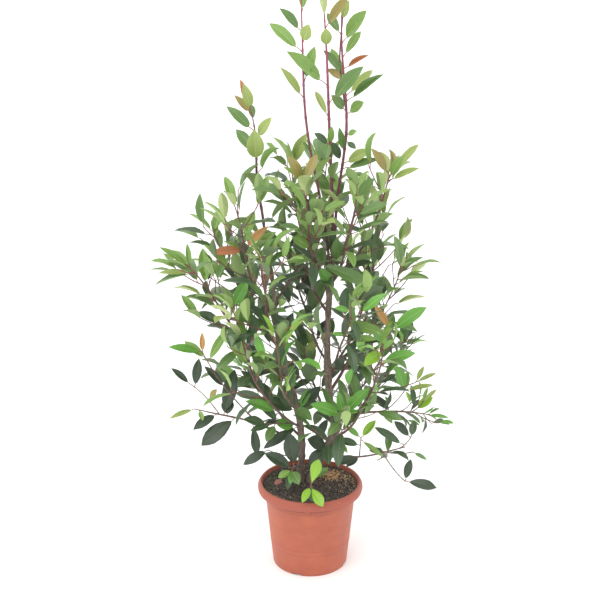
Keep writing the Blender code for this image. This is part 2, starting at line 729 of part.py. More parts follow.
def fuse(name, pieces):
    """One closed body from the overlapping pieces, without any loose scrap."""
    body, others = pieces[0], pieces[1:]
    group = new_collection(name + "_pieces")
    bpy.context.scene.collection.objects.link(body)
    for piece in others:
        group.objects.link(piece)
    union = body.modifiers.new("union", "BOOLEAN")
    union.operation = "UNION"
    union.operand_type = "COLLECTION"
    union.collection = group
    made = as_mesh(body)
    for piece in pieces:
        bpy.data.objects.remove(piece)
    bpy.data.collections.remove(group)
    keep_largest(made.data)
    made.name = name
    return made


def keep_largest(mesh):
    """Drops all but the largest connected piece of a mesh."""
    bm = bmesh.new()
    bm.from_mesh(mesh)
    islands, seen = [], set()
    for start in bm.verts:
        if start in seen:
            continue
        island, queue = {start}, [start]
        while queue:
            for edge in queue.pop().link_edges:
                for end in edge.verts:
                    if end not in island:
                        island.add(end)
                        queue.append(end)
        seen |= island
        islands.append(island)
    largest = max(islands, key=len)
    scrap = [vert for island in islands if island is not largest for vert in island]
    bmesh.ops.delete(bm, geom=scrap, context="VERTS")
    bm.to_mesh(mesh)
    bm.free()


def stem_of(limb, stems):
    """The path of a mass's stem, which goes on from its bough, and its radius at the start."""
    whole = limb_path(limb, foot_of(limb, stems))
    if not limb.bough:
        return whole, limb.radius
    start = limb.bough + 2 * GAP / length_of(whole)
    return at_shares(whole, np.linspace(start, 1, PATH_POINTS)), limb.radius * BOUGH_TAPER


def twig_body(path, radius):
    count = max(3, round(length_of(path) / TWIG_SPACING) + 1)
    radii = np.linspace(radius, TIP_RADIUS, len(path))
    return limb_body("twig", path, radii, np.linspace(0, 1, count), TWIG_SIDES)


def make_mass(seed, limb, stems, obstacles, template, parts, looks):
    """The stem, side shoots and leaves of one mass, fused, each kept clear of all other solids."""
    rng = np.random.default_rng(seed)
    name = "foliage_" + limb.name
    parent = stems[limb.name] if limb.bough else stems.get(limb.parent, stems["trunk"])
    stem, thick = stem_of(limb, stems)
    del obstacles.trees[name]
    twigs = [(stem, thick)]
    for shoot in side_shoots(limb, stem, rng):
        if not obstacles.meets(*twig_hull(shoot, SHOOT_RADIUS)):
            twigs.append((shoot, SHOOT_RADIUS))
    pieces = [twig_body(path, radius) for path, radius in twigs]
    own = Obstacles()
    for number, (path, radius) in enumerate(twigs):
        own.add_hull(number, *twig_hull(path, radius))

    def blocked(leaf):
        return obstacles.meets(*leaf.hull()) or own.meets(*leaf.hull(LEAF_ROOT_SHARE))

    for number, (path, radius) in enumerate(twigs):
        first = SHOOT_BARE if number else max(limb.bare, FIRST_LEAF / length_of(path))
        for leaf in leaves_on(path, radius, first, blocked, rng):
            own.add_hull(len(own.trees), *leaf.hull(LEAF_ROOT_SHARE))
            blade = bpy.data.objects.new("leaf", template.copy())
            blade.data.transform(Matrix(leaf.matrix().tolist()))
            pieces.append(blade)
    node = finish(fuse(name, pieces), looks[limb.tint], parts, parent.node)
    if not limb.bough and limb.parent != "fork" and limb.leaves_at:
        cut(node, parent.tool)
    obstacles.add(node)
    return len(pieces) - len(twigs)


def main():
    clear_scene()
    parts = new_collection("potted_shrub")
    cutters = new_collection("cutters")
    looks = {name: material(name) for name in COLORS}
    pot = make_pot(parts, cutters, looks["terracotta"])
    soil = make_soil(parts, pot, looks["soil"])
    smooth_shade(pot)
    stems = {}
    for name, stations in (("trunk", TRUNK), ("second_stem", SECOND_STEM)):
        stems[name] = make_stem(name, stations, parts, cutters, soil, looks["bark"])
    boughs = [limb for limb in LIMBS if limb.bough]
    boughs.sort(key=lambda limb: limb.parent not in stems)
    for limb in boughs:
        stems[limb.name] = make_bough(limb, stems, parts, cutters, looks["bark"])
    obstacles = Obstacles()
    obstacles.add(*parts.objects)
    for limb in LIMBS:
        stem, thick = stem_of(limb, stems)
        obstacles.add_hull("foliage_" + limb.name, *twig_hull(stem, thick))
    template = leaf_template()
    leaves = 0
    for number, limb in enumerate(LIMBS):
        leaves += make_mass(number + 1, limb, stems, obstacles, template, parts, looks)
    print(f"{leaves} leaves")


main()
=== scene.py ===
"""Looks of a potted evergreen shrub: a moulded nursery pot, crumbly soil, two barked stems with their
boughs, and an open crown of glossy oval leaves. Metres, +Z up; bearings in degrees from +X.
"""

from __future__ import annotations

import json
import logging
import math
from dataclasses import dataclass
from enum import Enum
from typing import NamedTuple, Sequence

import bpy
import numpy as np
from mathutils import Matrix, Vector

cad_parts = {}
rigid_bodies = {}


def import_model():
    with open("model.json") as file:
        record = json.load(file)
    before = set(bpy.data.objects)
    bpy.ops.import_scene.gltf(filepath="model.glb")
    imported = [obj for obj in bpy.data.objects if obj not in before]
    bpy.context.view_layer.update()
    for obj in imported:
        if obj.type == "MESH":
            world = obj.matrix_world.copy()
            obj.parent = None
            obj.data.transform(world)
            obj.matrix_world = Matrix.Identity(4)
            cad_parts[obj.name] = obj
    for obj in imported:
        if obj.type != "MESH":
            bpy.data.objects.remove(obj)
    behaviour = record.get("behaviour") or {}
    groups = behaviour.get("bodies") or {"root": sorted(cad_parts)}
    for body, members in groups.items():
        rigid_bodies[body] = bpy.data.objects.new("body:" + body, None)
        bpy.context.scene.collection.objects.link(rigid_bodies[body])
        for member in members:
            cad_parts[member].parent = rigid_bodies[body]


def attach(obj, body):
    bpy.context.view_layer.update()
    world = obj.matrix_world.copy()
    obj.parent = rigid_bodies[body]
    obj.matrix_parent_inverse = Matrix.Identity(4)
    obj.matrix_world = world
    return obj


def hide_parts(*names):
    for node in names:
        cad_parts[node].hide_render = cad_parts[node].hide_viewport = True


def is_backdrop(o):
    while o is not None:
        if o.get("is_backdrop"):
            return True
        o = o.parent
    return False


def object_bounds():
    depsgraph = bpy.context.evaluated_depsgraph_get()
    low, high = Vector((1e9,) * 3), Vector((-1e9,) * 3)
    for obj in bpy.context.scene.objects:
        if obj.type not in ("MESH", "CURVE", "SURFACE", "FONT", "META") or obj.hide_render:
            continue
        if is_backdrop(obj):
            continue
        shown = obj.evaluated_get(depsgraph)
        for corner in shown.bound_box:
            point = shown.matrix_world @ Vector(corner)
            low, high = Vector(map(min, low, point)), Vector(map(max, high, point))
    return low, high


Array = np.ndarray
Color = tuple[int, int, int]
Pair = tuple[float, float]
Rng = np.random.Generator
Socket = bpy.types.NodeSocket
Material = bpy.types.Material

UP = np.array((0.0, 0.0, 1.0))
NORTH = np.array((0.0, 1.0, 0.0))
NEARLY_UPRIGHT = 0.95
HEADING_REACH = 0.01  # share of a path, either side of where its heading is taken
GAP = 0.0004  # between neighbouring solids
GOLDEN_ANGLE = 137.5
PATH_POINTS = 60
SOIL_TOP = 0.2205


def unit(vectors: Array) -> Array:
    """Vectors of length one that point the same way."""
    return vectors / np.linalg.norm(vectors, axis=-1, keepdims=True)


def toward(bearing: float, rise: float = 0.0) -> Array:
    """The unit vector with this bearing that climbs at this angle, both in degrees."""
    b, r = math.radians(bearing), math.radians(rise)
    return np.array((math.cos(b) * math.cos(r), math.sin(b) * math.cos(r), math.sin(r)))


def length_of(path: Array) -> float:
    """The length of a path."""
    return float(np.linalg.norm(np.diff(path, axis=0), axis=1).sum())


def at_shares(path: Array, shares: Array | float | Sequence[float]) -> Array:
    """Points on a dense path.

    Args:
        path: points along the path.
        shares: shares of the path's length, from 0 to 1.

    Returns:
        One point for each share.
    """
    steps = np.linalg.norm(np.diff(path, axis=0), axis=1)
    run = np.concatenate(([0.0], np.cumsum(steps)))
    wanted = np.atleast_1d(shares) * run[-1]
    return np.stack([np.interp(wanted, run, path[:, axis]) for axis in range(3)], axis=1)


def heading(path: Array, share: float) -> Array:
    """The unit vector along the path at a share of its length."""
    ends = at_shares(path, [max(share - HEADING_REACH, 0), min(share + HEADING_REACH, 1)])
    return unit(ends[1] - ends[0])


def across(direction: Array) -> tuple[Array, Array]:
    """Two unit vectors square to a direction and to each other."""
    level = UP if abs(direction[2]) < NEARLY_UPRIGHT else NORTH
    side = unit(np.cross(direction, level))
    return side, np.cross(side, direction)


def bezier(p0: Array, p1: Array, p2: Array, p3: Array) -> Array:
    """The cubic curve (1-t)^3 p0 + 3t(1-t)^2 p1 + 3t^2(1-t) p2 + t^3 p3, as dense points."""
    t = np.linspace(0, 1, PATH_POINTS)[:, None]
    return (1 - t) ** 3 * p0 + 3 * t * (1 - t) ** 2 * p1 + 3 * t**2 * (1 - t) * p2 + t**3 * p3


def through(stations: Sequence[tuple[float, float, float, float]]) -> tuple[Array, Array]:
    """A smooth path through a stem's stations: between two of them a cubic takes its slopes from
    the stations on either side.

    Args:
        stations: height, x, y and radius of each.

    Returns:
        The dense path and the radius along it.
    """
    rows = np.array(stations)
    padded = np.vstack((2 * rows[0] - rows[1], rows, 2 * rows[-1] - rows[-2]))
    at = np.linspace(0, len(rows) - 1, 2 * PATH_POINTS)
    i = np.minimum(at.astype(int), len(rows) - 2)
    t = (at - i)[:, None]
    a, b, c, d = padded[i], padded[i + 1], padded[i + 2], padded[i + 3]
    square = (2 * a - 5 * b + 4 * c - d) * t**2
    cube = (3 * b - a - 3 * c + d) * t**3
    smooth = 0.5 * (2 * b + (c - a) * t + square + cube)
    return smooth[:, [1, 2, 0]], smooth[:, 3]


def linear(color: Color, strength: float = 1.0) -> tuple[float, float, float, float]:
    """A display colour as a shader takes it.

    Args:
        color: red, green and blue, 0 to 255.
        strength: how much the light values are scaled.

    Returns:
        The linear colour, with its alpha.
    """
    share = np.array(color) / 255
    low, high = share / 12.92, ((share + 0.055) / 1.055) ** 2.4
    red, green, blue = np.where(share <= 0.04045, low, high) * strength
    return float(red), float(green), float(blue), 1.0


@dataclass
class Surface:
    """Points, faces of four and of three corners with the slot of each, and each point's place on
    its straightened limb, for patterns that follow the surface."""

    points: Array
    quads: Array
    tris: Array
    quad_slots: Array
    tri_slots: Array
    limb: Array

    @staticmethod
    def plain(points: Array, quads: Array, tris: Array) -> Surface:
        """A surface of one slot whose patterns follow its own points."""
        empty = np.zeros((0, 3), int)
        tris = empty if len(tris) == 0 else tris
        return Surface(points, quads, tris, np.zeros(len(quads), int), np.zeros(len(tris), int), points)

    @staticmethod
    def joined(parts: Sequence[Surface]) -> Surface:
        """Many surfaces as one.

        Args:
            parts: the surfaces.

        Returns:
            All of them, each one's faces counted on from the points before it.
        """
        starts = np.cumsum([0] + [len(part.points) for part in parts[:-1]])
        return Surface(
            np.concatenate([part.points for part in parts]),
            np.concatenate([part.quads.reshape(-1, 4) + start for part, start in zip(parts, starts)]),
            np.concatenate([part.tris.reshape(-1, 3) + start for part, start in zip(parts, starts)]),
            np.concatenate([part.quad_slots for part in parts]),
            np.concatenate([part.tri_slots for part in parts]),
            np.concatenate([part.limb for part in parts]),
        )


def ring_faces(rings: int, sides: int) -> Array:
    """The four-cornered faces between neighbouring rings, each ring closed on itself.

    Args:
        rings: how many.
        sides: points of a ring.

    Returns:
        The faces.
    """
    i, j = np.meshgrid(np.arange(rings - 1), np.arange(sides), indexing="ij")
    here, right = i * sides + j, i * sides + (j + 1) % sides
    return np.stack((here, right, right + sides, here + sides), axis=-1).reshape(-1, 4)


def capped(rings: Array, ends: Array, flipped: bool = False) -> Surface:
    """Rings of points, each closed on itself and joined to the next, with a fan at each end.

    Args:
        rings: the points by ring and by place on the ring.
        ends: the middle point of each of the two fans.
        flipped: whether the faces look the other way.

    Returns:
        The closed surface.
    """
    count, sides = rings.shape[:2]
    first, last = count * sides, count * sides + 1
    top = first - sides
    j = np.arange(sides)
    after = (j + 1) % sides
    foot_fan = np.stack((np.full(sides, first), after, j), axis=1)
    tip_fan = np.stack((np.full(sides, last), top + j, top + after), axis=1)
    quads, tris = ring_faces(count, sides), np.concatenate((foot_fan, tip_fan))
    if flipped:
        quads, tris = quads[:, ::-1], tris[:, [0, 2, 1]]
    return Surface.plain(np.concatenate((rings.reshape(-1, 3), ends)), quads, tris)


def tube(path: Array, radii: Array, sides: int) -> Surface:
    """A closed round limb.

    The point at ring i and angle a is path(i) + radius(i, a) (cos a side(i) + sin a other(i)), with
    side and other square to the path. Each end closes in a fan on a middle point.

    Args:
        path: points along the middle.
        radii: one radius for each ring, or one for each ring and angle.
        sides: corners of a ring.

    Returns:
        The surface, with its place on the straightened limb.
    """
    run = unit(np.gradient(path, axis=0))
    level = np.eye(3)[np.argmin(np.abs(run.mean(axis=0)))]
    side = unit(np.cross(run, level))
    other = np.cross(run, side)
    angles = math.tau * np.arange(sides) / sides
    cosine, sine = np.cos(angles)[None, :, None], np.sin(angles)[None, :, None]
    wide = np.broadcast_to(np.asarray(radii).reshape(len(path), -1), (len(path), sides))[..., None]
    made = capped(path[:, None] + wide * (cosine * side[:, None] + sine * other[:, None]), path[[0, -1]])
    along = np.concatenate(([0.0], np.cumsum(np.linalg.norm(np.diff(path, axis=0), axis=1))))
    height = np.broadcast_to(along[:, None, None], wide.shape)
    straight = np.concatenate((wide * cosine, wide * sine, height), axis=-1).reshape(-1, 3)
    made.limb = np.concatenate((straight, [(0, 0, 0)], [(0, 0, along[-1])]))
    return made


LUMP_CORNERS = 64


def lumps(across_points: Array, cell: float, rng: Rng) -> Array:
    """Smooth random heights over a plane: values at the corners of square cells, eased between them.

    Args:
        across_points: x and y of each point.
        cell: side of a cell.
        rng: where the corner values come from.

    Returns:
        A height from -1 to 1 for each point.
    """
    corners = rng.uniform(-1, 1, (LUMP_CORNERS, LUMP_CORNERS))
    at = across_points / cell + LUMP_CORNERS // 2
    base = np.floor(at).astype(int)
    ease = at - base
    ease = ease**2 * (3 - 2 * ease)
    x, y = base[..., 0] % (LUMP_CORNERS - 1), base[..., 1] % (LUMP_CORNERS - 1)
    low = corners[x, y] * (1 - ease[..., 0]) + corners[x + 1, y] * ease[..., 0]
    high = corners[x, y + 1] * (1 - ease[..., 0]) + corners[x + 1, y + 1] * ease[..., 0]
    return low * (1 - ease[..., 1]) + high * ease[..., 1]


def place_piece(
    name: str,
    surface: Surface,
    finishes: Sequence[Material],
    replaced: Sequence[str] = (),
    sharp: float = 50,
) -> bpy.types.Object:
    """Makes a mesh object of a surface, which rides on the shrub's one body.

    Args:
        name: the piece's name.
        surface: its shape.
        finishes: one material for each slot number on its faces.
        replaced: the plain solids that it stands for.
        sharp: edges that bend by more degrees than this are shaded sharp.

    Returns:
        The object.
    """
    mesh = bpy.data.meshes.new(name)
    mesh.from_pydata(surface.points.tolist(), [], surface.quads.tolist() + surface.tris.tolist())
    for finish in finishes:
        mesh.materials.append(finish)
    slots = np.concatenate((surface.quad_slots, surface.tri_slots)).astype(np.int32)
    mesh.polygons.foreach_set("material_index", slots)
    limb = mesh.attributes.new("limb", "FLOAT_VECTOR", "POINT")
    limb.data.foreach_set("vector", surface.limb.astype(np.float32).ravel())
    mesh.shade_smooth()
    mesh.set_sharp_from_angle(angle=math.radians(sharp))
    piece = bpy.data.objects.new(name, mesh)
    bpy.context.scene.collection.objects.link(piece)
    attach(piece, "root")
    if replaced:
        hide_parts(*replaced)
    logging.info("%s: %d faces", name, len(mesh.polygons))
    return piece


class Nodes:
    """Short ways to add and join the nodes of one tree."""

    def __init__(self, tree: bpy.types.NodeTree) -> None:
        """Keeps the tree that the nodes go into."""
        self.tree = tree

    def add(self, kind: str, **inputs: object) -> bpy.types.Node:
        """Adds a node and fills its inputs.

        Args:
            kind: the node's type, without the word ShaderNode before it.
            inputs: values or sockets by input name, with _ for a space.

        Returns:
            The node.
        """
        node = self.tree.nodes.new("ShaderNode" + kind)
        for name, value in inputs.items():
            self.fill(node.inputs[name.replace("_", " ")], value)
        return node

    def fill(self, socket: Socket, value: object) -> None:
        """Joins a socket to an output, or gives it a plain value.

        Args:
            socket: which socket.
            value: the output or the value.
        """
        if isinstance(value, Socket):
            self.tree.links.new(value, socket)
        else:
            socket.default_value = value

    def place(self) -> Socket:
        """The object's own coordinates."""
        return self.add("TexCoord").outputs["Object"]

    def limb(self) -> Socket:
        """Each point's place on its straightened limb or its flattened leaf."""
        attribute = self.add("Attribute")
        attribute.attribute_name = "limb"
        return attribute.outputs["Vector"]

    def mapped(self, vector: Socket, *scale: float) -> Socket:
        """A vector stretched by a scale along each axis."""
        return self.add("Mapping", Vector=vector, Scale=scale).outputs["Vector"]

    def noise(self, vector: Socket, scale: float, detail: float) -> Socket:
        """The value of a noise pattern."""
        return self.add("TexNoise", Vector=vector, Scale=scale, Detail=detail).outputs["Fac"]

    def ramp(self, value: Socket, low: float, high: float, start: float = 0.0, end: float = 1.0) -> Socket:
        """Eases a value.

        Args:
            value: the value.
            low, high: where it runs from and to.
            start, end: what it becomes there.

        Returns:
            The eased value.
        """
        node = self.add("MapRange")
        node.interpolation_type = "SMOOTHSTEP"
        for name, number in (("From Min", low), ("From Max", high), ("To Min", start), ("To Max", end)):
            node.inputs[name].default_value = number
        self.fill(node.inputs["Value"], value)
        return node.outputs["Result"]

    def math(self, operation: str, first: object, second: object = 0.0) -> Socket:
        """One value worked out from one or two others.

        Args:
            operation: which.
            first, second: the values or sockets.

        Returns:
            The result.
        """
        node = self.add("Math")
        node.operation = operation
        self.fill(node.inputs[0], first)
        self.fill(node.inputs[1], second)
        return node.outputs["Value"]

    def mix(self, share: object, first: object, second: object) -> Socket:
        """Mixes two colours.

        Args:
            share: how much of the second, 0 to 1.
            first, second: the colours.

        Returns:
            The mixed colour.
        """
        node = self.add("Mix")
        node.data_type = "RGBA"
        for name, value in (("Factor_Float", share), ("A_Color", first), ("B_Color", second)):
            socket = next(s for s in node.inputs if s.identifier == name)
            self.fill(socket, value)
        return next(s for s in node.outputs if s.identifier == "Result_Color")

    def effect(self, group: bpy.types.NodeTree, **inputs: object) -> Socket:
        """Places a shared effect.

        Args:
            group: the effect.
            inputs: values or sockets by input name.

        Returns:
            Its first output.
        """
        node = self.tree.nodes.new("ShaderNodeGroup")
        node.node_tree = group
        for name, value in inputs.items():
            self.fill(node.inputs[name], value)
        return node.outputs[0]

    def dress(
        self, shader: bpy.types.Node, color: object, rough: Socket, relief: Socket, bump: Pair
    ) -> None:
        """Gives a shader its colour, its roughness and its relief.

        Args:
            shader: the Principled shader.
            color: a socket, or one plain colour.
            rough: its roughness.
            relief: the height of its relief, about 0 to 1.
            bump: how strong the relief is, and its depth in metres.
        """
        strength, depth = bump
        self.fill(shader.inputs["Base Color"], color)
        self.fill(shader.inputs["Roughness"], rough)
        raised = self.add("Bump", Height=relief, Strength=strength, Distance=depth)
        self.fill(shader.inputs["Normal"], raised.outputs["Normal"])


def new_group(
    name: str, values: Sequence[str], output: str
) -> tuple[Nodes, bpy.types.bpy_prop_collection, Socket]:
    """An empty shared effect that takes Vector and some values, and gives one value.

    Args:
        name: the group's name.
        values: the names of the values that it takes.
        output: the name of the value that it gives.

    Returns:
        The way to add nodes to it, its inputs as they arrive inside, and the socket for its output.
    """
    group = bpy.data.node_groups.new(name, "ShaderNodeTree")
    group.interface.new_socket("Vector", in_out="INPUT", socket_type="NodeSocketVector")
    for value in values:
        group.interface.new_socket(value, in_out="INPUT", socket_type="NodeSocketFloat")
    group.interface.new_socket(output, in_out="OUTPUT", socket_type="NodeSocketFloat")
    given = group.nodes.new("NodeGroupInput").outputs
    result = group.nodes.new("NodeGroupOutput").inputs
    return Nodes(group), given, result[output]


def speckle_group() -> bpy.types.NodeTree:
    """A shared effect: a mask of scattered spots. It takes the spots' scale and share, and gives
    Mask, which is 1 on a spot."""
    found = bpy.data.node_groups.get("speckle")
    if found:
        return found
    nodes, given, mask = new_group("speckle", ("Scale", "Share"), "Mask")
    cells = nodes.add("TexVoronoi", Vector=given["Vector"], Scale=given["Scale"]).outputs
    size = nodes.add("SeparateColor", Color=cells["Color"]).outputs["Red"]
    spot = nodes.math("MULTIPLY", size, given["Share"])
    nodes.fill(mask, nodes.math("LESS_THAN", cells["Distance"], spot))
    return nodes.tree


def new_material(name: str) -> tuple[Material, Nodes, bpy.types.Node]:
    """An empty material with its Principled shader, and the way to add nodes to it."""
    made = bpy.data.materials.new(name)
    made.use_nodes = True
    return made, Nodes(made.node_tree), made.node_tree.nodes["Principled BSDF"]


@dataclass(frozen=True)
class MouldedPlastic:
    """Matt plastic with faint rubbed bands, painted shade in its grooves, at its shoulder and under its lip,
    dark specks and pale scratches.
    """

    body: Color = (182, 98, 72)
    faded: Color = (196, 116, 90)
    deep: Color = (170, 88, 66)
    # dark colour of the dirt specks, and of the painted shade in the grooves
    dirt_and_shade: Color = (106, 58, 50)
    rim: Color = (160, 80, 64)
    scratch: Color = (232, 176, 150)
    roughness: float = 0.46
    rim_low: float = 0.19
    rim_blend: float = 0.012
    # painted shade: dark bands at the band's edges, the fine line, the shoulder and under the lip's roll,
    # where shade falls
    groove_shades: tuple[Pair, ...] = (
        (0.0605, 0.18),
        (0.0745, 0.12),
        (0.131, 0.05),
        (0.135, 0.05),
        (0.187, 0.36),
        (0.1975, 0.55),
    )  # height and strength of each
    groove_shade_half: float = 0.0034

    def material(self) -> Material:
        """The finish as a material that follows the object's own coordinates."""
        made, nodes, shader = new_material("pot_plastic")
        place = nodes.place()
        height = nodes.add("SeparateXYZ", Vector=place).outputs["Z"]
        cloud = nodes.noise(nodes.mapped(place, 1.0, 1.0, 1.6), scale=16.0, detail=4.0)
        bands = nodes.noise(nodes.mapped(place, 0.25, 0.25, 3.0), scale=60.0, detail=4.0)
        scratches = nodes.noise(nodes.mapped(place, 1.0, 1.0, 14.0), scale=45.0, detail=2.0)
        fine = nodes.noise(place, scale=1100.0, detail=2.0)
        color = nodes.mix(nodes.ramp(cloud, 0.3, 0.72), linear(self.deep), linear(self.body))
        color = nodes.mix(nodes.ramp(bands, 0.4, 0.8, 0.0, 0.07), color, linear(self.faded))
        on_rim = nodes.ramp(height, self.rim_low, self.rim_low + self.rim_blend, 0.0, 0.75)
        color = nodes.mix(on_rim, color, linear(self.rim))
        color = nodes.mix(nodes.ramp(fine, 0.45, 0.75, 0.0, 0.18), color, linear(self.faded))
        # painted shade: the colour darkens in a narrow band round each of these heights, standing in for the
        # shade in the recesses
        for groove, strength in self.groove_shades:
            away = nodes.math("ABSOLUTE", nodes.math("SUBTRACT", height, groove))
            shade = nodes.ramp(away, 0.0, self.groove_shade_half, strength, 0.0)
            color = nodes.mix(shade, color, linear(self.dirt_and_shade))
        color = nodes.mix(nodes.ramp(scratches, 0.7, 0.78, 0.0, 0.4), color, linear(self.scratch))
        specks = nodes.effect(speckle_group(), Vector=place, Scale=62.0, Share=0.13)
        color = nodes.mix(nodes.ramp(specks, 0.0, 1.0, 0.0, 0.5), color, linear(self.dirt_and_shade))
        rough = nodes.ramp(cloud, 0.3, 0.8, self.roughness, self.roughness + 0.14)
        nodes.dress(shader, color, rough, fine, (0.25, 0.0003))
        return made


@dataclass(frozen=True)
class Earth:
    """Something crumbly from the ground: soil, grit, moss or a chip of bark."""

    name: str
    dark: Color
    light: Color
    scale: float = 320.0
    roughness: float = 0.92

    def material(self) -> Material:
        """The finish as a material that follows the object's own coordinates."""
        made, nodes, shader = new_material(self.name)
        grain = nodes.noise(nodes.place(), scale=self.scale, detail=5.0)
        color = nodes.mix(nodes.ramp(grain, 0.35, 0.68), linear(self.dark), linear(self.light))
        rough = nodes.ramp(grain, 0.3, 0.7, self.roughness, self.roughness - 0.12)
        nodes.dress(shader, color, rough, grain, (0.7, 0.0008))
        return made


@dataclass(frozen=True)
class Bark:
    """Bark with long streaks that follow the limb, and pale pores."""

    name: str
    dark: Color
    light: Color
    pore: Color
    roughness: float
    stretch: float = 0.1

    def material(self) -> Material:
        """The finish as a material that follows each limb's own length."""
        made, nodes, shader = new_material(self.name)
        place = nodes.limb()
        streaks = nodes.noise(nodes.mapped(place, 1.0, 1.0, self.stretch), scale=420.0, detail=5.0)
        patches = nodes.noise(place, scale=38.0, detail=2.0)
        color = nodes.mix(nodes.ramp(streaks, 0.34, 0.68), linear(self.dark), linear(self.light))
        color = nodes.mix(nodes.ramp(patches, 0.45, 0.75, 0.0, 0.5), color, linear(self.light, 1.25))
        pores = nodes.effect(speckle_group(), Vector=place, Scale=260.0, Share=0.3)
        color = nodes.mix(nodes.ramp(pores, 0.0, 1.0, 0.0, 0.55), color, linear(self.pore))
        rough = nodes.ramp(streaks, 0.3, 0.7, self.roughness + 0.08, self.roughness)
        nodes.dress(shader, color, rough, streaks, (0.6, 0.0006))
        return made


@dataclass(frozen=True)
class ShootBark:
    """Smooth young bark that turns from brown at the foot of a shoot to red towards its tip."""

    name: str
    foot: Color
    middle: Color
    tip: Color
    middle_at: float  # metres along the shoot
    tip_at: float
    streak: Color = (200, 160, 140)
    roughness: float = 0.48

    def material(self) -> Material:
        """The finish as a material that follows each shoot's own length."""
        made, nodes, shader = new_material(self.name)
        place = nodes.limb()
        along = nodes.add("SeparateXYZ", Vector=place).outputs["Z"]
        streaks = nodes.noise(nodes.mapped(place, 1.0, 1.0, 0.15), scale=500.0, detail=4.0)
        color = nodes.mix(nodes.ramp(along, 0.0, self.middle_at), linear(self.foot), linear(self.middle))
        color = nodes.mix(nodes.ramp(along, self.middle_at, self.tip_at), color, linear(self.tip))
        color = nodes.mix(nodes.ramp(streaks, 0.45, 0.75, 0.0, 0.3), color, linear(self.streak))
        rough = nodes.ramp(streaks, 0.3, 0.7, self.roughness + 0.08, self.roughness)
        nodes.dress(shader, color, rough, streaks, (0.4, 0.0003))
        return made


def vein_group() -> bpy.types.NodeTree:
    """A shared effect: the side veins of a leaf. It takes the leaf's own coordinates, across from -1
    to 1 and along from 0 to 1, and gives Height, which sinks along each vein."""
    found = bpy.data.node_groups.get("leaf_veins")
    if found:
        return found
    nodes, given, height = new_group("leaf_veins", ("Count", "Slant"), "Height")
    axes = nodes.add("SeparateXYZ", Vector=given["Vector"]).outputs
    slanted = nodes.math("MULTIPLY", nodes.math("ABSOLUTE", axes["X"]), given["Slant"])
    turns = nodes.math("MULTIPLY", nodes.math("SUBTRACT", axes["Y"], slanted), given["Count"])
    wave = nodes.math("COSINE", nodes.math("MULTIPLY", turns, math.tau))
    nodes.fill(height, nodes.ramp(wave, 0.55, 1.0, 1.0, 0.0))
    return nodes.tree


class Tint(Enum):
    """The leaf colours, from the shaded inside of the crown to its newest tips."""

    DEEP = "deep"
    DARK = "dark"
    MID = "mid"
    FRESH = "fresh"
    VIVID = "vivid"
    LIME = "lime"
    PALE = "pale"
    BRONZE = "bronze"
    AMBER = "amber"
    RED = "red"


DEEP, DARK, MID, FRESH, VIVID, LIME, PALE, BRONZE, AMBER, RED = Tint


@dataclass(frozen=True)
class LeafSkin:
    """The two sides and the rib of a leaf of one tint."""

    upper: Color
    under: Color
    rib: Color
    slot: str
    roughness: float = 0.31
    veins: float = 11
    vein_slant: float = 0.16

    def materials(self, tint: Tint) -> list[Material]:
        """The upper side, the rib and the underside, each of one plain colour.

        Args:
            tint: the tint that names them.

        Returns:
            The three materials, in the order of the blade's slots.
        """
        sides = (
            ("upper", self.upper, self.roughness),
            ("rib", self.rib, self.roughness + 0.08),
            ("under", self.under, self.roughness + 0.2),
        )
        made = []
        for side, color, roughness in sides:
            look, nodes, shader = new_material(f"leaf_{tint.value}_{side}")
            veins = nodes.effect(vein_group(), Vector=nodes.limb(), Count=self.veins, Slant=self.vein_slant)
            cells = nodes.noise(nodes.place(), scale=450.0, detail=3.0)
            rough = nodes.ramp(cells, 0.3, 0.7, roughness, roughness + 0.1)
            nodes.dress(shader, linear(color), rough, nodes.math("ADD", veins, cells), (0.35, 0.0003))
            made.append(look)
        return made


SKINS = {
    DEEP: LeafSkin((58, 72, 54), (92, 108, 80), (74, 92, 66), "leaf_dark"),
    DARK: LeafSkin((70, 92, 62), (110, 132, 92), (96, 122, 78), "leaf_dark"),
    MID: LeafSkin((98, 130, 70), (138, 162, 102), (132, 162, 94), "leaf_mid"),
    FRESH: LeafSkin((120, 154, 74), (154, 180, 108), (156, 186, 104), "leaf_fresh"),
    VIVID: LeafSkin((100, 156, 62), (142, 184, 100), (140, 186, 98), "leaf_fresh"),
    LIME: LeafSkin((138, 182, 58), (166, 200, 92), (160, 200, 80), "leaf_lime"),
    PALE: LeafSkin((150, 168, 92), (182, 196, 134), (182, 192, 128), "leaf_bronze"),
    BRONZE: LeafSkin((148, 136, 76), (184, 170, 112), (174, 156, 104), "leaf_bronze"),
    AMBER: LeafSkin((184, 138, 78), (206, 172, 118), (202, 164, 112), "leaf_bronze"),
    RED: LeafSkin((172, 110, 72), (202, 154, 116), (196, 126, 92), "leaf_bronze"),
}

# The tints of a spray from its foot to its tip, for each kind of limb
SPRAYS = {
    "dark": (DEEP, DARK, DARK, DARK, MID, DARK, MID, VIVID),
    "mid": (DARK, DARK, DARK, MID, MID, MID, FRESH, VIVID),
    "fresh": (DARK, MID, DARK, MID, FRESH, MID, FRESH, PALE, FRESH),
    "lime": (DARK, MID, MID, VIVID, FRESH, VIVID, LIME),
    "bronze": (MID, MID, FRESH, FRESH, FRESH, PALE, FRESH, BRONZE, RED),
    "small": (DARK, DARK, MID, DARK, MID, VIVID, LIME),
}


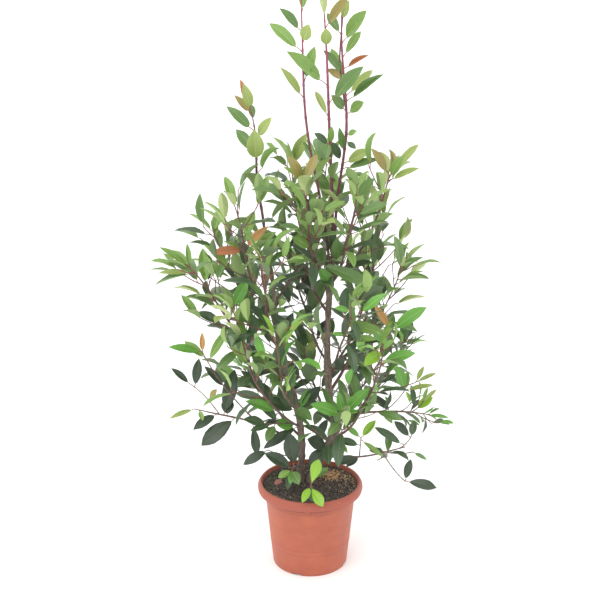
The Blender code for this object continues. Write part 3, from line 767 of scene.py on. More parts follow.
@dataclass
class Pot:
    """The round nursery pot: a thin turned wall with a rolled rim, a stepped neck and drain notches."""

    height: float = 0.229
    rim_radius: float = 0.14
    rim_inner_radius: float = 0.1274
    rim_depth: float = 0.025
    rim_round: Pair = (0.0065, 0.011)
    rim_draw_in: float = 0.004
    rim_hook: Pair = (0.003, 0.001)  # width and height of its lower edge
    lip_edge: Pair = (0.001, 0.006)  # width and depth of its inner slope
    neck_radius: float = 0.1225
    shoulder: float = 0.188
    shoulder_slope: float = 0.002
    body_top_radius: float = 0.1185
    base_radius: float = 0.099
    wall: float = 0.003
    line_height: float = 0.133
    line_depth: float = 0.0005
    line_half: float = 0.002
    band: Pair = (0.063, 0.072)
    band_proud: float = 0.0006
    band_edge: float = 0.0012
    foot_edge: float = 0.0015
    floor_lift: float = 0.006
    disc_radius: float = 0.045
    disc_slope: float = 0.002
    notches: int = 4
    notch_width: float = 0.023
    notch_height: float = 0.005
    notch_bearing: float = -110.5
    notch_blend: float = 0.02  # radians over which its edges rise
    most_cut: float = 0.45  # of a side of the outline, taken off for its rounding
    round_points: int = 4
    sides: int = 216

    def body_radius(self, height: float) -> float:
        """Outer radius of the tapering wall below the shoulder."""
        return self.base_radius + (self.body_top_radius - self.base_radius) * height / self.shoulder

    def outline(self) -> list[tuple[float, float, float]]:
        """The corners of the outline, from the inner floor over the rim to the underside.

        Returns:
            Radius, height and rounding of each.
        """
        lip = self.height - self.rim_depth
        width, depth = self.rim_round
        hook, hook_rise = self.rim_hook
        slope, slope_depth = self.lip_edge
        low, high = self.band
        edge, floor = self.band_edge, self.floor_lift + self.wall
        line, half, wide = self.line_height, self.line_half, self.rim_radius
        neck_foot = self.shoulder + self.shoulder_slope
        disc_edge = self.disc_radius + self.disc_slope
        return [
            (0.0, self.wall, 0.0),
            (self.disc_radius - self.wall, self.wall, 0.002),
            (disc_edge, floor, 0.002),
            (self.body_radius(floor) - self.wall, floor, 0.004),
            (self.body_top_radius - self.wall, self.shoulder, 0.002),
            (self.neck_radius - self.wall, neck_foot, 0.002),
            (self.neck_radius - self.wall, lip, 0.003),
            (self.rim_inner_radius, self.height - slope_depth, 0.003),
            (self.rim_inner_radius + slope, self.height, 0.003),
            (wide - width, self.height, 0.004),
            (wide, self.height - depth, 0.01),
            (wide - self.rim_draw_in + hook_rise, lip + hook_rise, 0.002),
            (wide - self.rim_draw_in - hook, lip, 0.001),
            (self.neck_radius, lip, 0.0015),
            (self.neck_radius, neck_foot, 0.0015),
            (self.body_top_radius, self.shoulder, 0.0015),
            (self.body_radius(line + half), line + half, 0.0008),
            (self.body_radius(line) - self.line_depth, line, 0.0008),
            (self.body_radius(line - half), line - half, 0.0008),
            (self.body_radius(high + edge), high + edge, 0.0006),
            (self.body_radius(high) + self.band_proud, high, 0.0006),
            (self.body_radius(low) + self.band_proud, low, 0.0006),
            (self.body_radius(low - edge), low - edge, 0.0006),
            (self.base_radius, self.foot_edge, 0.001),
            (self.base_radius - self.foot_edge, 0.0, 0.0006),
            (self.base_radius - self.wall, 0.0, 0.0006),
            (self.base_radius - self.wall, self.floor_lift, 0.001),
            (disc_edge, self.floor_lift, 0.001),
            (self.disc_radius, 0.0, 0.0006),
            (0.0, 0.0, 0.0),
        ]

    def rounded(self) -> Array:
        """The outline with each corner cut back by its rounding and bridged by a short parabola.

        Returns:
            Radius and height of each point.
        """
        corners = np.array(self.outline())
        places, rounding = corners[:, :2], corners[:, 2]
        found = [places[0]]
        for before, here, after, cut in zip(places, places[1:], places[2:], rounding[1:]):
            back, on = here - before, after - here
            reach = min(cut, self.most_cut * np.linalg.norm(back), self.most_cut * np.linalg.norm(on))
            start, end = here - unit(back) * reach, here + unit(on) * reach
            for t in np.linspace(0, 1, self.round_points):
                found.append((1 - t) ** 2 * start + 2 * t * (1 - t) * here + t**2 * end)
        found.append(places[-1])
        return np.array(found)

    def surface(self) -> Surface:
        """The outline turned about the upright axis: (r cos a, r sin a, z), its foot raised in notches.

        Returns:
            The closed surface.
        """
        profile = self.rounded()
        angles = math.tau * np.arange(self.sides) / self.sides
        inner = profile[1:-1]
        step = math.tau / self.notches
        off = (angles - math.radians(self.notch_bearing) + step / 2) % step - step / 2
        half = self.notch_width / 2 / self.base_radius
        lift = self.notch_height * np.clip((half - np.abs(off)) / self.notch_blend + 0.5, 0, 1)
        radius = np.broadcast_to(inner[:, :1], (len(inner), self.sides))
        height = np.broadcast_to(inner[:, 1:], radius.shape)
        at_foot = (radius > self.base_radius - 2 * self.wall) & (height < self.notch_height)
        height = np.where(at_foot, np.maximum(height, lift), height)
        rings = np.stack((radius * np.cos(angles), radius * np.sin(angles), height), axis=-1)
        return capped(rings, np.array(((0, 0, profile[0, 1]), (0, 0, profile[-1, 1]))), flipped=True)

    def build(self) -> None:
        """Makes the pot."""
        place_piece("pot_shell", self.surface(), [MouldedPlastic().material()], ["pot"], 35)


class Litter(NamedTuple):
    """One kind of small lumps on the soil."""

    name: str
    finish: Earth
    count: int
    bearing: float | None  # of the side where it gathers, none for everywhere
    sizes: Pair  # least and greatest radius
    flat: float  # height as a share of the width


LITTER = (
    Litter(
        "soil_crumbs", Earth("soil_crumb", (38, 32, 30), (112, 98, 90)), 1500, None, (0.0011, 0.0031), 0.8
    ),
    Litter(
        "soil_bits", Earth("tan_bits", (172, 146, 112), (220, 194, 152)), 300, None, (0.0007, 0.0015), 0.7
    ),
    Litter(
        "soil_grit", Earth("tan_grit", (160, 134, 98), (216, 188, 142)), 3400, 28, (0.0009, 0.0019), 0.7
    ),
    Litter(
        "soil_grains", Earth("pale_grain", (190, 184, 170), (232, 228, 216)), 60, None, (0.0005, 0.0011), 0.9
    ),
    Litter("soil_moss", Earth("moss", (56, 68, 52), (104, 118, 88)), 1500, 172, (0.0011, 0.003), 0.7),
)
CAKE = Litter(
    "soil_cake", Earth("tan_cake", (166, 126, 86), (216, 172, 124)), 420, None, (0.0012, 0.0028), 0.6
)


@dataclass
class Soil:
    """Potting soil with crumbs, tan grit, white grains, moss and a chip of bark."""

    edge_radius: float = 0.1258
    edge_height: float = 0.2185
    flat_radius: float = 0.06
    depth: float = 0.012
    rings: int = 84
    sides: int = 190
    roughness: tuple[Pair, ...] = ((0.0016, 0.016), (0.0011, 0.006), (0.0007, 0.0028))  # height and cell
    calm_radius: float = 0.03
    least_rough: float = 0.4
    bumpy: Pair = (0.72, 1.25)
    sunk: float = 0.35  # height of a lump's middle above the soil, as a share of its radius
    margin: float = 0.004
    cake_bearing: float = 40
    cake_distance: float = 0.076
    cake_spread: Pair = (0.011, 0.012)
    drift: float = 36  # degrees either side of a bearing
    drift_out: Pair = (-0.2, 1.6)  # chance at the pot's axis, and what it gains up to the rim
    chip_middle: tuple[float, float, float] = (-0.085, -0.004, 0.226)
    chip_tilt: Pair = (0.15, 0.55)
    chip_half: float = 0.001
    chip_shrink: float = 0.94
    seed: int = 7

    def height(self, x: Array, y: Array, rng: Rng) -> Array:
        """Height of the soil: nearly level, lower to the rim, with lumps of three sizes.

        Args:
            x, y: where.
            rng: where the lumps come from.

        Returns:
            The heights.
        """
        away = np.hypot(x, y)
        share = np.clip((away - self.flat_radius) / (self.edge_radius - self.flat_radius), 0, 1)
        level = SOIL_TOP + (self.edge_height - SOIL_TOP) * share
        at = np.stack((x, y), axis=-1)
        rough = sum(high * lumps(at, cell, rng) for high, cell in self.roughness)
        return level + rough * np.clip(away / self.calm_radius, self.least_rough, 1)

    def top(self) -> Surface:
        """A disc of rings whose heights are the soil's, closed below by a skirt and a fan.

        Returns:
            The closed surface.
        """
        rng = np.random.default_rng(self.seed)
        angles = math.tau * np.arange(self.sides) / self.sides
        away = self.edge_radius * np.linspace(1, 0, self.rings, endpoint=False)[::-1]
        x = away[:, None] * np.cos(angles)
        y = away[:, None] * np.sin(angles)
        z = self.height(x, y, rng)
        low = np.full((1, self.sides), self.edge_height - self.depth)
        x = np.concatenate((x, x[-1:]))
        y = np.concatenate((y, y[-1:]))
        rings = np.stack((x, y, np.concatenate((z, low))), axis=-1)
        return capped(rings, np.array(((0, 0, float(z[0].mean())), (0, 0, low[0, 0]))), flipped=True)

    def crumbs(self, places: Array, kind: Litter, rng: Rng) -> Surface:
        """Small uneven lumps: each is a twelve-cornered ball whose corners are pushed in and out.

        Args:
            places: x and y of each lump.
            kind: what they are.
            rng: where their sizes, shapes and turns come from.

        Returns:
            All the lumps as one surface.
        """
        ball = icosahedron()
        count = len(places)
        sizes = rng.uniform(*kind.sizes, count)
        bumpy = ball.points[None] * rng.uniform(*self.bumpy, (count, len(ball.points), 1))
        bumpy = bumpy * (sizes[:, None, None] * np.array((1, 1, kind.flat)))
        turn = rng.uniform(0, math.tau, count)
        cosine, sine = np.cos(turn)[:, None], np.sin(turn)[:, None]
        x = bumpy[..., 0] * cosine - bumpy[..., 1] * sine
        y = bumpy[..., 0] * sine + bumpy[..., 1] * cosine
        floor = self.height(places[:, 0], places[:, 1], np.random.default_rng(self.seed))
        lift = (floor + self.sunk * sizes * kind.flat)[:, None]
        points = np.stack((x + places[:, :1], y + places[:, 1:], bumpy[..., 2] + lift), axis=-1)
        starts = len(ball.points) * np.arange(count)[:, None, None]
        tris = (ball.tris[None] + starts).reshape(-1, 3)
        return Surface.plain(points.reshape(-1, 3), np.zeros((0, 4), int), tris)

    def scattered(self, count: int, rng: Rng) -> Array:
        """Even random places on the soil."""
        away = (self.edge_radius - self.margin) * np.sqrt(rng.uniform(0, 1, count))
        turn = rng.uniform(0, math.tau, count)
        return np.stack((away * np.cos(turn), away * np.sin(turn)), axis=1)

    def thinned(self, places: Array, bearing: float, rng: Rng) -> Array:
        """The places that fall to one side.

        Args:
            places: x and y of each.
            bearing: of the side.
            rng: what decides.

        Returns:
            Those that stay, each by a chance that fades away from the bearing.
        """
        off = np.arctan2(places[:, 1], places[:, 0]) - math.radians(bearing)
        off = np.abs((off + math.pi) % math.tau - math.pi)
        reach = np.hypot(places[:, 0], places[:, 1]) / self.edge_radius
        middle, gain = self.drift_out
        chance = np.exp(-((off / math.radians(self.drift)) ** 2)) * np.clip(gain * reach + middle, 0, 1)
        return places[rng.uniform(0, 1, len(places)) < chance]

    def build(self) -> None:
        """Makes the soil and what lies on it."""
        rng = np.random.default_rng(self.seed + 1)
        soil = Earth("potting_soil", (36, 30, 28), (94, 82, 76))
        place_piece("soil_top", self.top(), [soil.material()], ["soil"])
        for kind in LITTER:
            places = self.scattered(kind.count, rng)
            if kind.bearing is not None:
                places = self.thinned(places, kind.bearing, rng)
            place_piece(kind.name, self.crumbs(places, kind, rng), [kind.finish.material()])
        middle = toward(self.cake_bearing)[:2] * self.cake_distance
        places = middle + rng.normal(0, 1, (CAKE.count, 2)) * self.cake_spread
        place_piece(CAKE.name, self.crumbs(places, CAKE, rng), [CAKE.finish.material()])
        chip = Earth("bark_chip", (146, 98, 90), (184, 130, 118))
        place_piece("soil_chip", self.chip(), [chip.material()])

    def chip(self) -> Surface:
        """A flat chip of bark that leans on the soil: a five-cornered plate.

        Returns:
            The closed plate.
        """
        outline = np.array(((-12, -4), (-3, -8), (12, -2), (8, 6), (-6, 7))) * 0.001
        tilt = outline @ np.array(self.chip_tilt)
        low = np.column_stack((outline, tilt - self.chip_half)) + self.chip_middle
        top = outline * self.chip_shrink
        high = np.column_stack((top, tilt + self.chip_half)) + self.chip_middle
        return capped(np.stack((low, high)), np.stack((low.mean(axis=0), high.mean(axis=0))))


def icosahedron() -> Surface:
    """A ball of twelve corners and twenty faces: three golden rectangles square to each other.

    Returns:
        The ball, of radius one.
    """
    g = (1 + math.sqrt(5)) / 2
    rows = [(-1, g, 0), (1, g, 0), (-1, -g, 0), (1, -g, 0), (0, -1, g), (0, 1, g)]
    rows += [(0, -1, -g), (0, 1, -g), (g, 0, -1), (g, 0, 1), (-g, 0, -1), (-g, 0, 1)]
    fans = [(0, 11, 5), (0, 5, 1), (0, 1, 7), (0, 7, 10), (0, 10, 11), (1, 5, 9), (5, 11, 4), (11, 10, 2)]
    fans += [(10, 7, 6), (7, 1, 8), (3, 9, 4), (3, 4, 2), (3, 2, 6), (3, 6, 8), (3, 8, 9), (4, 9, 5)]
    fans += [(2, 4, 11), (6, 2, 10), (8, 6, 7), (9, 8, 1)]
    return Surface.plain(unit(np.array(rows, float)), np.zeros((0, 4), int), np.array(fans))


class Limb(NamedTuple):
    """A bough with the mass of foliage at its end, or a mass that starts at its parent."""

    name: str
    parent: str
    leaves_at: float  # height on the parent's axis
    bearing: float  # of the tip, seen from the pot's axis
    reach: float  # of the tip, from the pot's axis
    height: float  # of the tip
    rise: float  # degrees above level where the limb leaves its parent
    end_rise: float  # degrees above level at the tip
    radius: float
    bough: float  # share of the length that is a bare bough, 0 for none
    bare: float  # share of the mass's stem before its first leaf
    shoots: int
    shoot_length: float
    tint: str = "fresh"


LIMBS = (
    Limb("leader_left", "fork", -1, -133, 0.037, 1.485, 80, 92, 0.0034, 0, 0.12, 2, 0.09, "bronze"),
    Limb("leader_middle", "fork", 0, 10, 0.026, 1.47, 90, 86, 0.004, 0, 0.24, 1, 0.06, "bronze"),
    Limb("leader_right", "fork", 1, 22, 0.08, 1.48, 81, 96, 0.0035, 0, 0.12, 2, 0.11, "bronze"),
    Limb("upper_left", "second_stem", 0, -160, 0.15, 1.2, 78, 80, 0.0034, 0, 0.04, 2, 0.09, "bronze"),
    Limb("upper_left_rear", "trunk", 0.69, 112, 0.125, 1.05, 38, 80, 0.004, 0.45, 0.05, 3, 0.09),
    Limb("upper_right", "trunk", 0.785, -8, 0.19, 1.045, 30, 76, 0.004, 0.34, 0.05, 3, 0.1, "bronze"),
    Limb("upper_front", "trunk", 0.745, -97, 0.15, 1.045, 42, 80, 0.0036, 0, 0.16, 4, 0.1),
    Limb("upper_right_front", "trunk", 0.765, -52, 0.17, 1.04, 38, 76, 0.0038, 0, 0.2, 3, 0.09),
    Limb("upper_rear", "trunk", 0.715, 77, 0.185, 1.04, 36, 78, 0.004, 0.4, 0.05, 3, 0.11),
    Limb("mid_left", "second_stem", 0.515, -174, 0.3, 0.82, 24, 50, 0.0042, 0.42, 0.05, 4, 0.1),
    Limb("mid_left_rear", "second_stem", 0.6, 158, 0.27, 0.88, 26, 58, 0.004, 0.38, 0.05, 4, 0.1),
    Limb("mid_left_front", "second_stem", 0.69, -146, 0.215, 0.985, 32, 72, 0.0038, 0.34, 0.05, 3, 0.1),
    Limb("front_left", "second_stem", 0.56, -120, 0.24, 0.89, 30, 70, 0.0038, 0.34, 0.05, 3, 0.1),
    Limb("front_left_low", "second_stem", 0.42, -112, 0.235, 0.7, 26, 70, 0.0034, 0, 0.2, 3, 0.1, "lime"),
    Limb("red_shoot", "second_stem", 0.375, -143, 0.235, 0.745, 32, 76, 0.0033, 0, 0.28, 3, 0.09),
    Limb("low_left_upper", "low_left", 0.385, -172, 0.275, 0.6, 48, 66, 0.0027, 0.3, 0.05, 3, 0.09, "dark"),
    Limb("low_left", "second_stem", 0.325, -177, 0.3, 0.438, 34, 14, 0.004, 0.48, 0.05, 3, 0.1, "dark"),
    Limb(
        "low_left_front", "second_stem", 0.29, -148, 0.225, 0.385, 34, -10, 0.0032, 0, 0.25, 2, 0.08,
        "dark",
    ),
    Limb("front_right", "trunk", 0.545, -66, 0.225, 0.78, 26, 70, 0.0038, 0.4, 0.05, 3, 0.1, "mid"),
    Limb("tall_right", "trunk", 0.475, 24, 0.208, 0.925, 42, 72, 0.0045, 0.46, 0.05, 3, 0.11),
    Limb("mid_right", "tall_right", 0.625, -12, 0.228, 0.825, 26, 64, 0.0027, 0.25, 0.05, 3, 0.1),
    Limb("low_right_front", "trunk", 0.345, -43, 0.235, 0.665, 30, 80, 0.004, 0.4, 0.05, 3, 0.1, "lime"),
    Limb("low_right", "trunk", 0.385, 5, 0.312, 0.405, 34, -8, 0.0042, 0.45, 0.05, 3, 0.1, "small"),
    Limb("low_right_upper", "low_right", 0.41, 3, 0.238, 0.62, 58, 80, 0.0027, 0.24, 0.05, 3, 0.09, "small"),
    Limb("lowest_right", "trunk", 0.292, -14, 0.25, 0.352, 4, 26, 0.0036, 0.45, 0.05, 2, 0.08, "small"),
    Limb("droop_right", "lowest_right", 0.299, -14, 0.266, 0.281, -6, -44, 0.0024, 0, 0.45, 0, 0.05, "dark"),
    Limb("centre_front", "trunk", 0.318, -58, 0.15, 0.47, 24, 66, 0.003, 0, 0.25, 3, 0.09, "mid"),
    Limb("inner_top", "second_stem", 0.72, 88, 0.06, 0.95, 38, 78, 0.0034, 0, 0.2, 3, 0.1, "mid"),
    Limb("inner_rear", "trunk", 0.56, 108, 0.14, 0.79, 34, 70, 0.0034, 0, 0.22, 4, 0.1, "dark"),
    Limb("inner_low", "trunk", 0.385, 98, 0.108, 0.56, 26, 74, 0.0032, 0, 0.2, 4, 0.1, "dark"),
    Limb("rear_left", "second_stem", 0.465, 120, 0.27, 0.79, 30, 68, 0.0042, 0.4, 0.05, 4, 0.11, "mid"),
    Limb("rear_right", "trunk", 0.51, 52, 0.28, 0.75, 26, 62, 0.0042, 0.42, 0.05, 4, 0.11, "mid"),
    Limb("low_rear_left", "second_stem", 0.345, 133, 0.27, 0.48, 24, 40, 0.0038, 0.45, 0.05, 4, 0.11, "dark"),
    Limb("low_rear_right", "trunk", 0.415, 43, 0.285, 0.52, 20, 44, 0.0038, 0.45, 0.05, 4, 0.11, "dark"),
    Limb("foot_left", "second_stem", 0.256, -128, 0.078, 0.288, 34, 0, 0.0026, 0, 0.35, 0, 0.05, "mid"),
    Limb("foot_front", "trunk", 0.238, -90, 0.118, 0.269, 50, -20, 0.0026, 0, 0.45, 0, 0.05, "lime"),
)

# Stems: height, x, y and radius, from the soil to the tip
TRUNK = (
    (0.212, 0.006, 0.012, 0.0108),
    (0.232, 0.006, 0.012, 0.0107),
    (0.3, 0.034, 0.012, 0.0103),
    (0.362, 0.063, 0.01, 0.01),
    (0.406, 0.062, 0.008, 0.0096),
    (0.45, 0.051, 0.006, 0.0093),
    (0.539, 0.044, 0.004, 0.0088),
    (0.64, 0.043, 0.004, 0.0079),
    (0.74, 0.047, 0.006, 0.0072),
    (0.8, 0.051, 0.007, 0.0073),
    (0.824, 0.053, 0.008, 0.0097),
    (0.836, 0.053, 0.008, 0.0098),
)
SECOND_STEM = (
    (0.212, -0.027, 0.02, 0.009),
    (0.232, -0.027, 0.02, 0.0089),
    (0.3, -0.022, 0.018, 0.0084),
    (0.358, -0.024, 0.015, 0.0079),
    (0.431, -0.035, 0.012, 0.0073),
    (0.528, -0.06, 0.008, 0.0066),
    (0.665, -0.086, -0.002, 0.0056),
    (0.791, -0.097, -0.01, 0.0048),
    (0.875, -0.112, -0.018, 0.004),
)


@dataclass
class Frame:
    """The stems and boughs: their paths, and the barked meshes made along them."""

    flare: float = 0.0045
    flare_height: float = 0.011
    fork_spread: float = 0.0078
    fork_sunk: float = 0.006
    handle: float = 0.36
    sway: float = 0.012
    bough_taper: float = 0.66
    ring_step: float = 0.0022
    seed: int = 21
    stem_sides: int = 30
    second_sides: int = 26
    bough_sides: int = 14
    ridge_depth: float = 0.055
    ridges: int = 7
    ridge_turns: tuple[int, int] = (2, 9)
    wander: float = 90  # radians a metre that a ridge may turn, either way
    rings_depth: float = 0.35  # of the rings, as a share of the ridges'
    rings_turn: float = 260  # radians a metre
    collar: float = 0.0016
    collar_length: float = 0.007

    def __post_init__(self) -> None:
        """Works out every path from the stations and the limb rows."""
        self.paths: dict[str, Array] = {}
        self.radii: dict[str, Array] = {}
        for name, stations in (("trunk", TRUNK), ("second_stem", SECOND_STEM)):
            self.paths[name], self.radii[name] = through(stations)
        boughs = [limb for limb in LIMBS if limb.bough]
        boughs.sort(key=lambda limb: limb.parent not in self.paths)
        for limb in boughs:
            whole = self.limb_path(limb)
            self.paths[limb.name] = at_shares(whole, np.linspace(0, limb.bough, PATH_POINTS))
            self.radii[limb.name] = np.linspace(limb.radius, limb.radius * self.bough_taper, PATH_POINTS)

    def foot_of(self, limb: Limb) -> Array:
        """Where a limb starts.

        Args:
            limb: its row.

        Returns:
            The point: at the fork, past the end of its parent, or on its parent's axis.
        """
        if limb.parent == "fork":
            tilt = limb.radius * math.cos(math.radians(limb.rise))
            beside = self.fork_spread * limb.leaves_at
            return self.paths["trunk"][-1] + np.array((beside, 0.0, GAP + tilt - self.fork_sunk))
        path = self.paths[limb.parent]
        if not limb.leaves_at:
            return path[-1] + 1.5 * GAP * heading(path, 1.0)
        higher = int(np.argmax(path[:, 2] > limb.leaves_at))
        low, high = path[higher - 1], path[higher]
        return low + (high - low) * (limb.leaves_at - low[2]) / (high[2] - low[2])

    def limb_path(self, limb: Limb) -> Array:
        """A curve from a limb's foot to its tip, which sways sideways by a sine of one and a half turns.

        Args:
            limb: its row, whose two rises say how it leaves and arrives.

        Returns:
            The dense path.
        """
        foot = self.foot_of(limb)
        tip = toward(limb.bearing) * limb.reach + UP * limb.height
        out = tip - foot
        bearing = math.degrees(math.atan2(out[1], out[0]))
        handle = self.handle * np.linalg.norm(out)
        leaving = foot + handle * toward(bearing, limb.rise)
        arriving = tip - handle * toward(bearing, limb.end_rise)
        path = bezier(foot, leaving, arriving, tip)
        sway = self.sway * np.linalg.norm(out) * np.sin(3 * np.pi * np.linspace(0, 1, len(path)))
        return path + sway[:, None] * toward(bearing + 90)

    def mass_stem(self, limb: Limb) -> tuple[Array, float]:
        """The stem that carries a mass, which goes on from its bough.

        Args:
            limb: its row.

        Returns:
            The stem's path, and its radius at the start.
        """
        whole = self.limb_path(limb)
        if not limb.bough:
            return whole, limb.radius
        return at_shares(whole, np.linspace(limb.bough, 1, PATH_POINTS)), limb.radius * self.bough_taper

    def barked(self, name: str, sides: int, rng: Rng) -> Surface:
        """A limb with its bark's relief.

        The radius at height s and angle a is r(s) times 1 plus a sum of ridges, each a sine of a
        whole number of turns that wanders with s, plus the root flare and a collar round each
        bough that leaves it: c exp(-d^2 / l^2), with d the distance to the bough's foot.

        Args:
            name: the stem or the limb.
            sides: corners of a ring.
            rng: where the ridges come from.

        Returns:
            The surface.
        """
        path = self.paths[name]
        count = max(8, int(length_of(path) / self.ring_step))
        shares = np.linspace(0, 1, count)
        points = at_shares(path, shares)
        radius = np.interp(shares, np.linspace(0, 1, len(path)), self.radii[name])
        run = shares * length_of(path)
        angles = math.tau * np.arange(sides) / sides
        turns = rng.integers(*self.ridge_turns, self.ridges)
        wander = rng.uniform(-self.wander, self.wander, self.ridges)
        start = rng.uniform(0, math.tau, self.ridges)
        waves = turns * angles[None, :, None] + wander * run[:, None, None] + start
        ridges = (np.sin(waves) / np.sqrt(turns)).sum(axis=-1) / math.sqrt(self.ridges)
        rings = self.rings_depth * np.sin(run[:, None] * self.rings_turn + 2 * np.sin(angles + start[0]))
        wide = radius[:, None] * (1 + self.ridge_depth * (ridges + rings))
        if name in ("trunk", "second_stem"):
            above = np.maximum(points[:, 2] - SOIL_TOP, 0)
            wide = wide + self.flare * np.exp(-above / self.flare_height)[:, None]
        for limb in LIMBS:
            if limb.parent == name and limb.leaves_at:
                away = np.linalg.norm(points - self.foot_of(limb), axis=1)
                wide = wide + self.collar * np.exp(-((away / self.collar_length) ** 2))[:, None]
        return tube(points, wide, sides)

    def build(self) -> None:
        """Makes the trunk, the second stem and the boughs."""
        rng = np.random.default_rng(self.seed)
        old = Bark("old_bark", (92, 80, 72), (134, 118, 106), (164, 148, 134), 0.8).material()
        young = Bark("bough_bark", (92, 70, 64), (134, 104, 92), (166, 138, 118), 0.7).material()
        place_piece("trunk_bark", self.barked("trunk", self.stem_sides, rng), [old], ["trunk"])
        second = self.barked("second_stem", self.second_sides, rng)
        place_piece("second_stem_bark", second, [old], ["second_stem"])
        names = [limb.name for limb in LIMBS if limb.bough]
        made = Surface.joined([self.barked(name, self.bough_sides, rng) for name in names])
        place_piece("bough_bark", made, [young], ["bough_" + name for name in names])


class Leaf(NamedTuple):
    """A leaf on its twig: where its stalk starts, how it lies, its sizes and its tint."""

    foot: Array
    run: Array  # of the twig
    along: Array
    normal: Array  # of the upper side
    length: float
    stalk: float  # share of the length
    width: float  # share of the blade's length
    widest: float  # where along the blade
    fold: float  # how steeply the halves rise from the rib, in radians
    bend: float  # how far the tip turns down, in radians
    twist: float
    wave: float
    tint: Tint


ROW_SHARE = 0.93  # of a twig, over which the number of its leaves is worked out
ROW_END = 0.9
BELOW_TIP = 0.975


class Shoot(NamedTuple):
    """A twig that carries leaves."""

    name: str  # the limb's for its stem, empty for a twig that the rule grows
    path: Array
    thick: float
    first: float  # share before the first leaf
    limb: Limb
    kind: str  # of its leaves
    rank: int  # 0 for a mass's stem, 1 for a side shoot, 2 for a spur
    start: float  # metres from the limb's foot to the twig's

    def spots(self, spacing: float) -> Array:
        """The shares at which the leaves sit.

        Args:
            spacing: metres from leaf to leaf.

        Returns:
            Evenly spaced shares, then the tip's, where a mass's stem has two.
        """
        count = max(1, round(length_of(self.path) * (ROW_SHARE - self.first) / spacing))
        ends = (BELOW_TIP, 1.0) if self.rank == 0 else (1.0,)
        return np.concatenate((np.linspace(self.first, ROW_END, count), ends))


@dataclass(frozen=True)
class Branching:
    """One kind of twig on a stem. They leave it in a spiral, each turned on by the golden angle."""

    rank: int
    radius: float
    first: float  # share of the twig before its first leaf
    shares: Pair  # of the stem: the first twig's, past the limb's bare share, and the last one's
    turn: float  # degrees of the first one, past the limb's bearing
    jitter: float
    spread: float  # degrees from the stem
    lengths: Pair  # a side shoot's is a share of its limb's own shoot length
    stray: float = 0.0  # of a share
    shrink: Pair = (1.0, 0.0)  # of the length: at the stem's foot, and what it loses towards the tip


SIDE_SHOOTS = Branching(1, 0.0015, 0.22, (0.1, 0.74), 60, 15, 48, (0.8, 1.15), shrink=(1.1, 0.5))
SPURS = Branching(2, 0.0013, 0.35, (0.04, 0.9), 200, 25, 52, (0.03, 0.055), stray=0.03)
INNER_TWIGS = Branching(2, 0.0013, 0.35, (0.25, 0.92), 0, 25, 50, (0.035, 0.07))


class SetTwig(NamedTuple):
    """A twig with its own place, from a limb's stem to the spot that a pixel of the picture shows."""

    name: str
    limb: str
    share: float  # of the limb's stem
    tip: Pair  # pixel that shows the twig's tip
    length: float
    bow: float = 0.08  # how far its middle lies off the straight line, upwards, as a share of the length


SET_TWIGS = (
    SetTwig("left_knot", "red_shoot", 0.08, (268, 424), 0.075, 0),
    SetTwig("left_sprig", "low_left", 0.58, (190, 384), 0.11),
    SetTwig("low_left_front", "low_left_front", 0, (268, 450), 0.11, -0.06),
    SetTwig("front_top", "low_right_front", 0.88, (391, 331), 0.05, -0.06),
    SetTwig("front_sprig", "lowest_right", 0, (361, 438), 0.056, 0.02),
    SetTwig("upturned", "lowest_right", 0.82, (411, 437), 0.044, -0.15),
    SetTwig("level_sprig", "lowest_right", 0.55, (413, 452), 0.07, -0.06),
    SetTwig("droop_right", "lowest_right", 0.5, (405, 481), 0.09, -0.08),
    SetTwig("right_sprig", "low_right", 0.66, (422, 403), 0.04, -0.1),
    SetTwig("right_shoot", "low_right", 0.12, (405, 390), 0.08, -0.1),
    SetTwig("right_twig", "low_right_upper", 0.2, (416, 382), 0.09, -0.1),
)


@dataclass(frozen=True)
class Habit:
    """How the leaves of one kind of limb look: each pair is the least and the most."""

    size: float  # of the usual length
    spacing: float
    hang: float  # how far the low leaves turn down
    stalk: Pair
    width: Pair
    widest: Pair
    fold: Pair
    bend: Pair
    spread: Pair  # degrees from the twig, at its foot and at its tip


HABITS = {
    "bronze": Habit(1.14, 0.038, 0, (0.17, 0.24), (0.38, 0.5), (0.42, 0.52), (0.45, 1), (0.4, 1), (58, 38)),
    "fresh": Habit(
        1.02, 0.034, 0.2, (0.11, 0.17), (0.33, 0.46), (0.44, 0.56), (0.25, 0.75), (0.2, 0.8), (54, 34)
    ),
    "lime": Habit(
        1.02, 0.035, 0.1, (0.1, 0.15), (0.34, 0.44), (0.48, 0.58), (0.15, 0.55), (0.25, 0.8), (58, 36)
    ),
    "mid": Habit(
        1, 0.034, 0.3, (0.1, 0.15), (0.33, 0.45), (0.46, 0.58), (0.18, 0.65), (0.25, 0.85), (58, 38)
    ),
    "dark": Habit(
        1.04, 0.035, 0.3, (0.09, 0.14), (0.36, 0.48), (0.46, 0.58), (0.14, 0.5), (0.25, 0.85), (60, 40)
    ),
    "small": Habit(
        0.6, 0.026, -0.2, (0.1, 0.16), (0.32, 0.44), (0.44, 0.56), (0.2, 0.65), (0.3, 0.9), (54, 34)
    ),
}


class SetLeaf(NamedTuple):
    """A leaf with its own place, from its twig to the spot that a pixel of the picture shows."""

    share: float  # of the twig
    tip: Pair  # pixel that shows the leaf's tip
    length: float
    width: float  # share of the blade's length
    tint: Tint
    fold: float = 0.35
    widest: float = 0.5
    near: bool = True  # leans towards the picture's eye


def leaves_from(*rows: tuple) -> list[SetLeaf]:
    """Leaves with their own places, from rows of their values."""
    return [SetLeaf(*row) for row in rows]


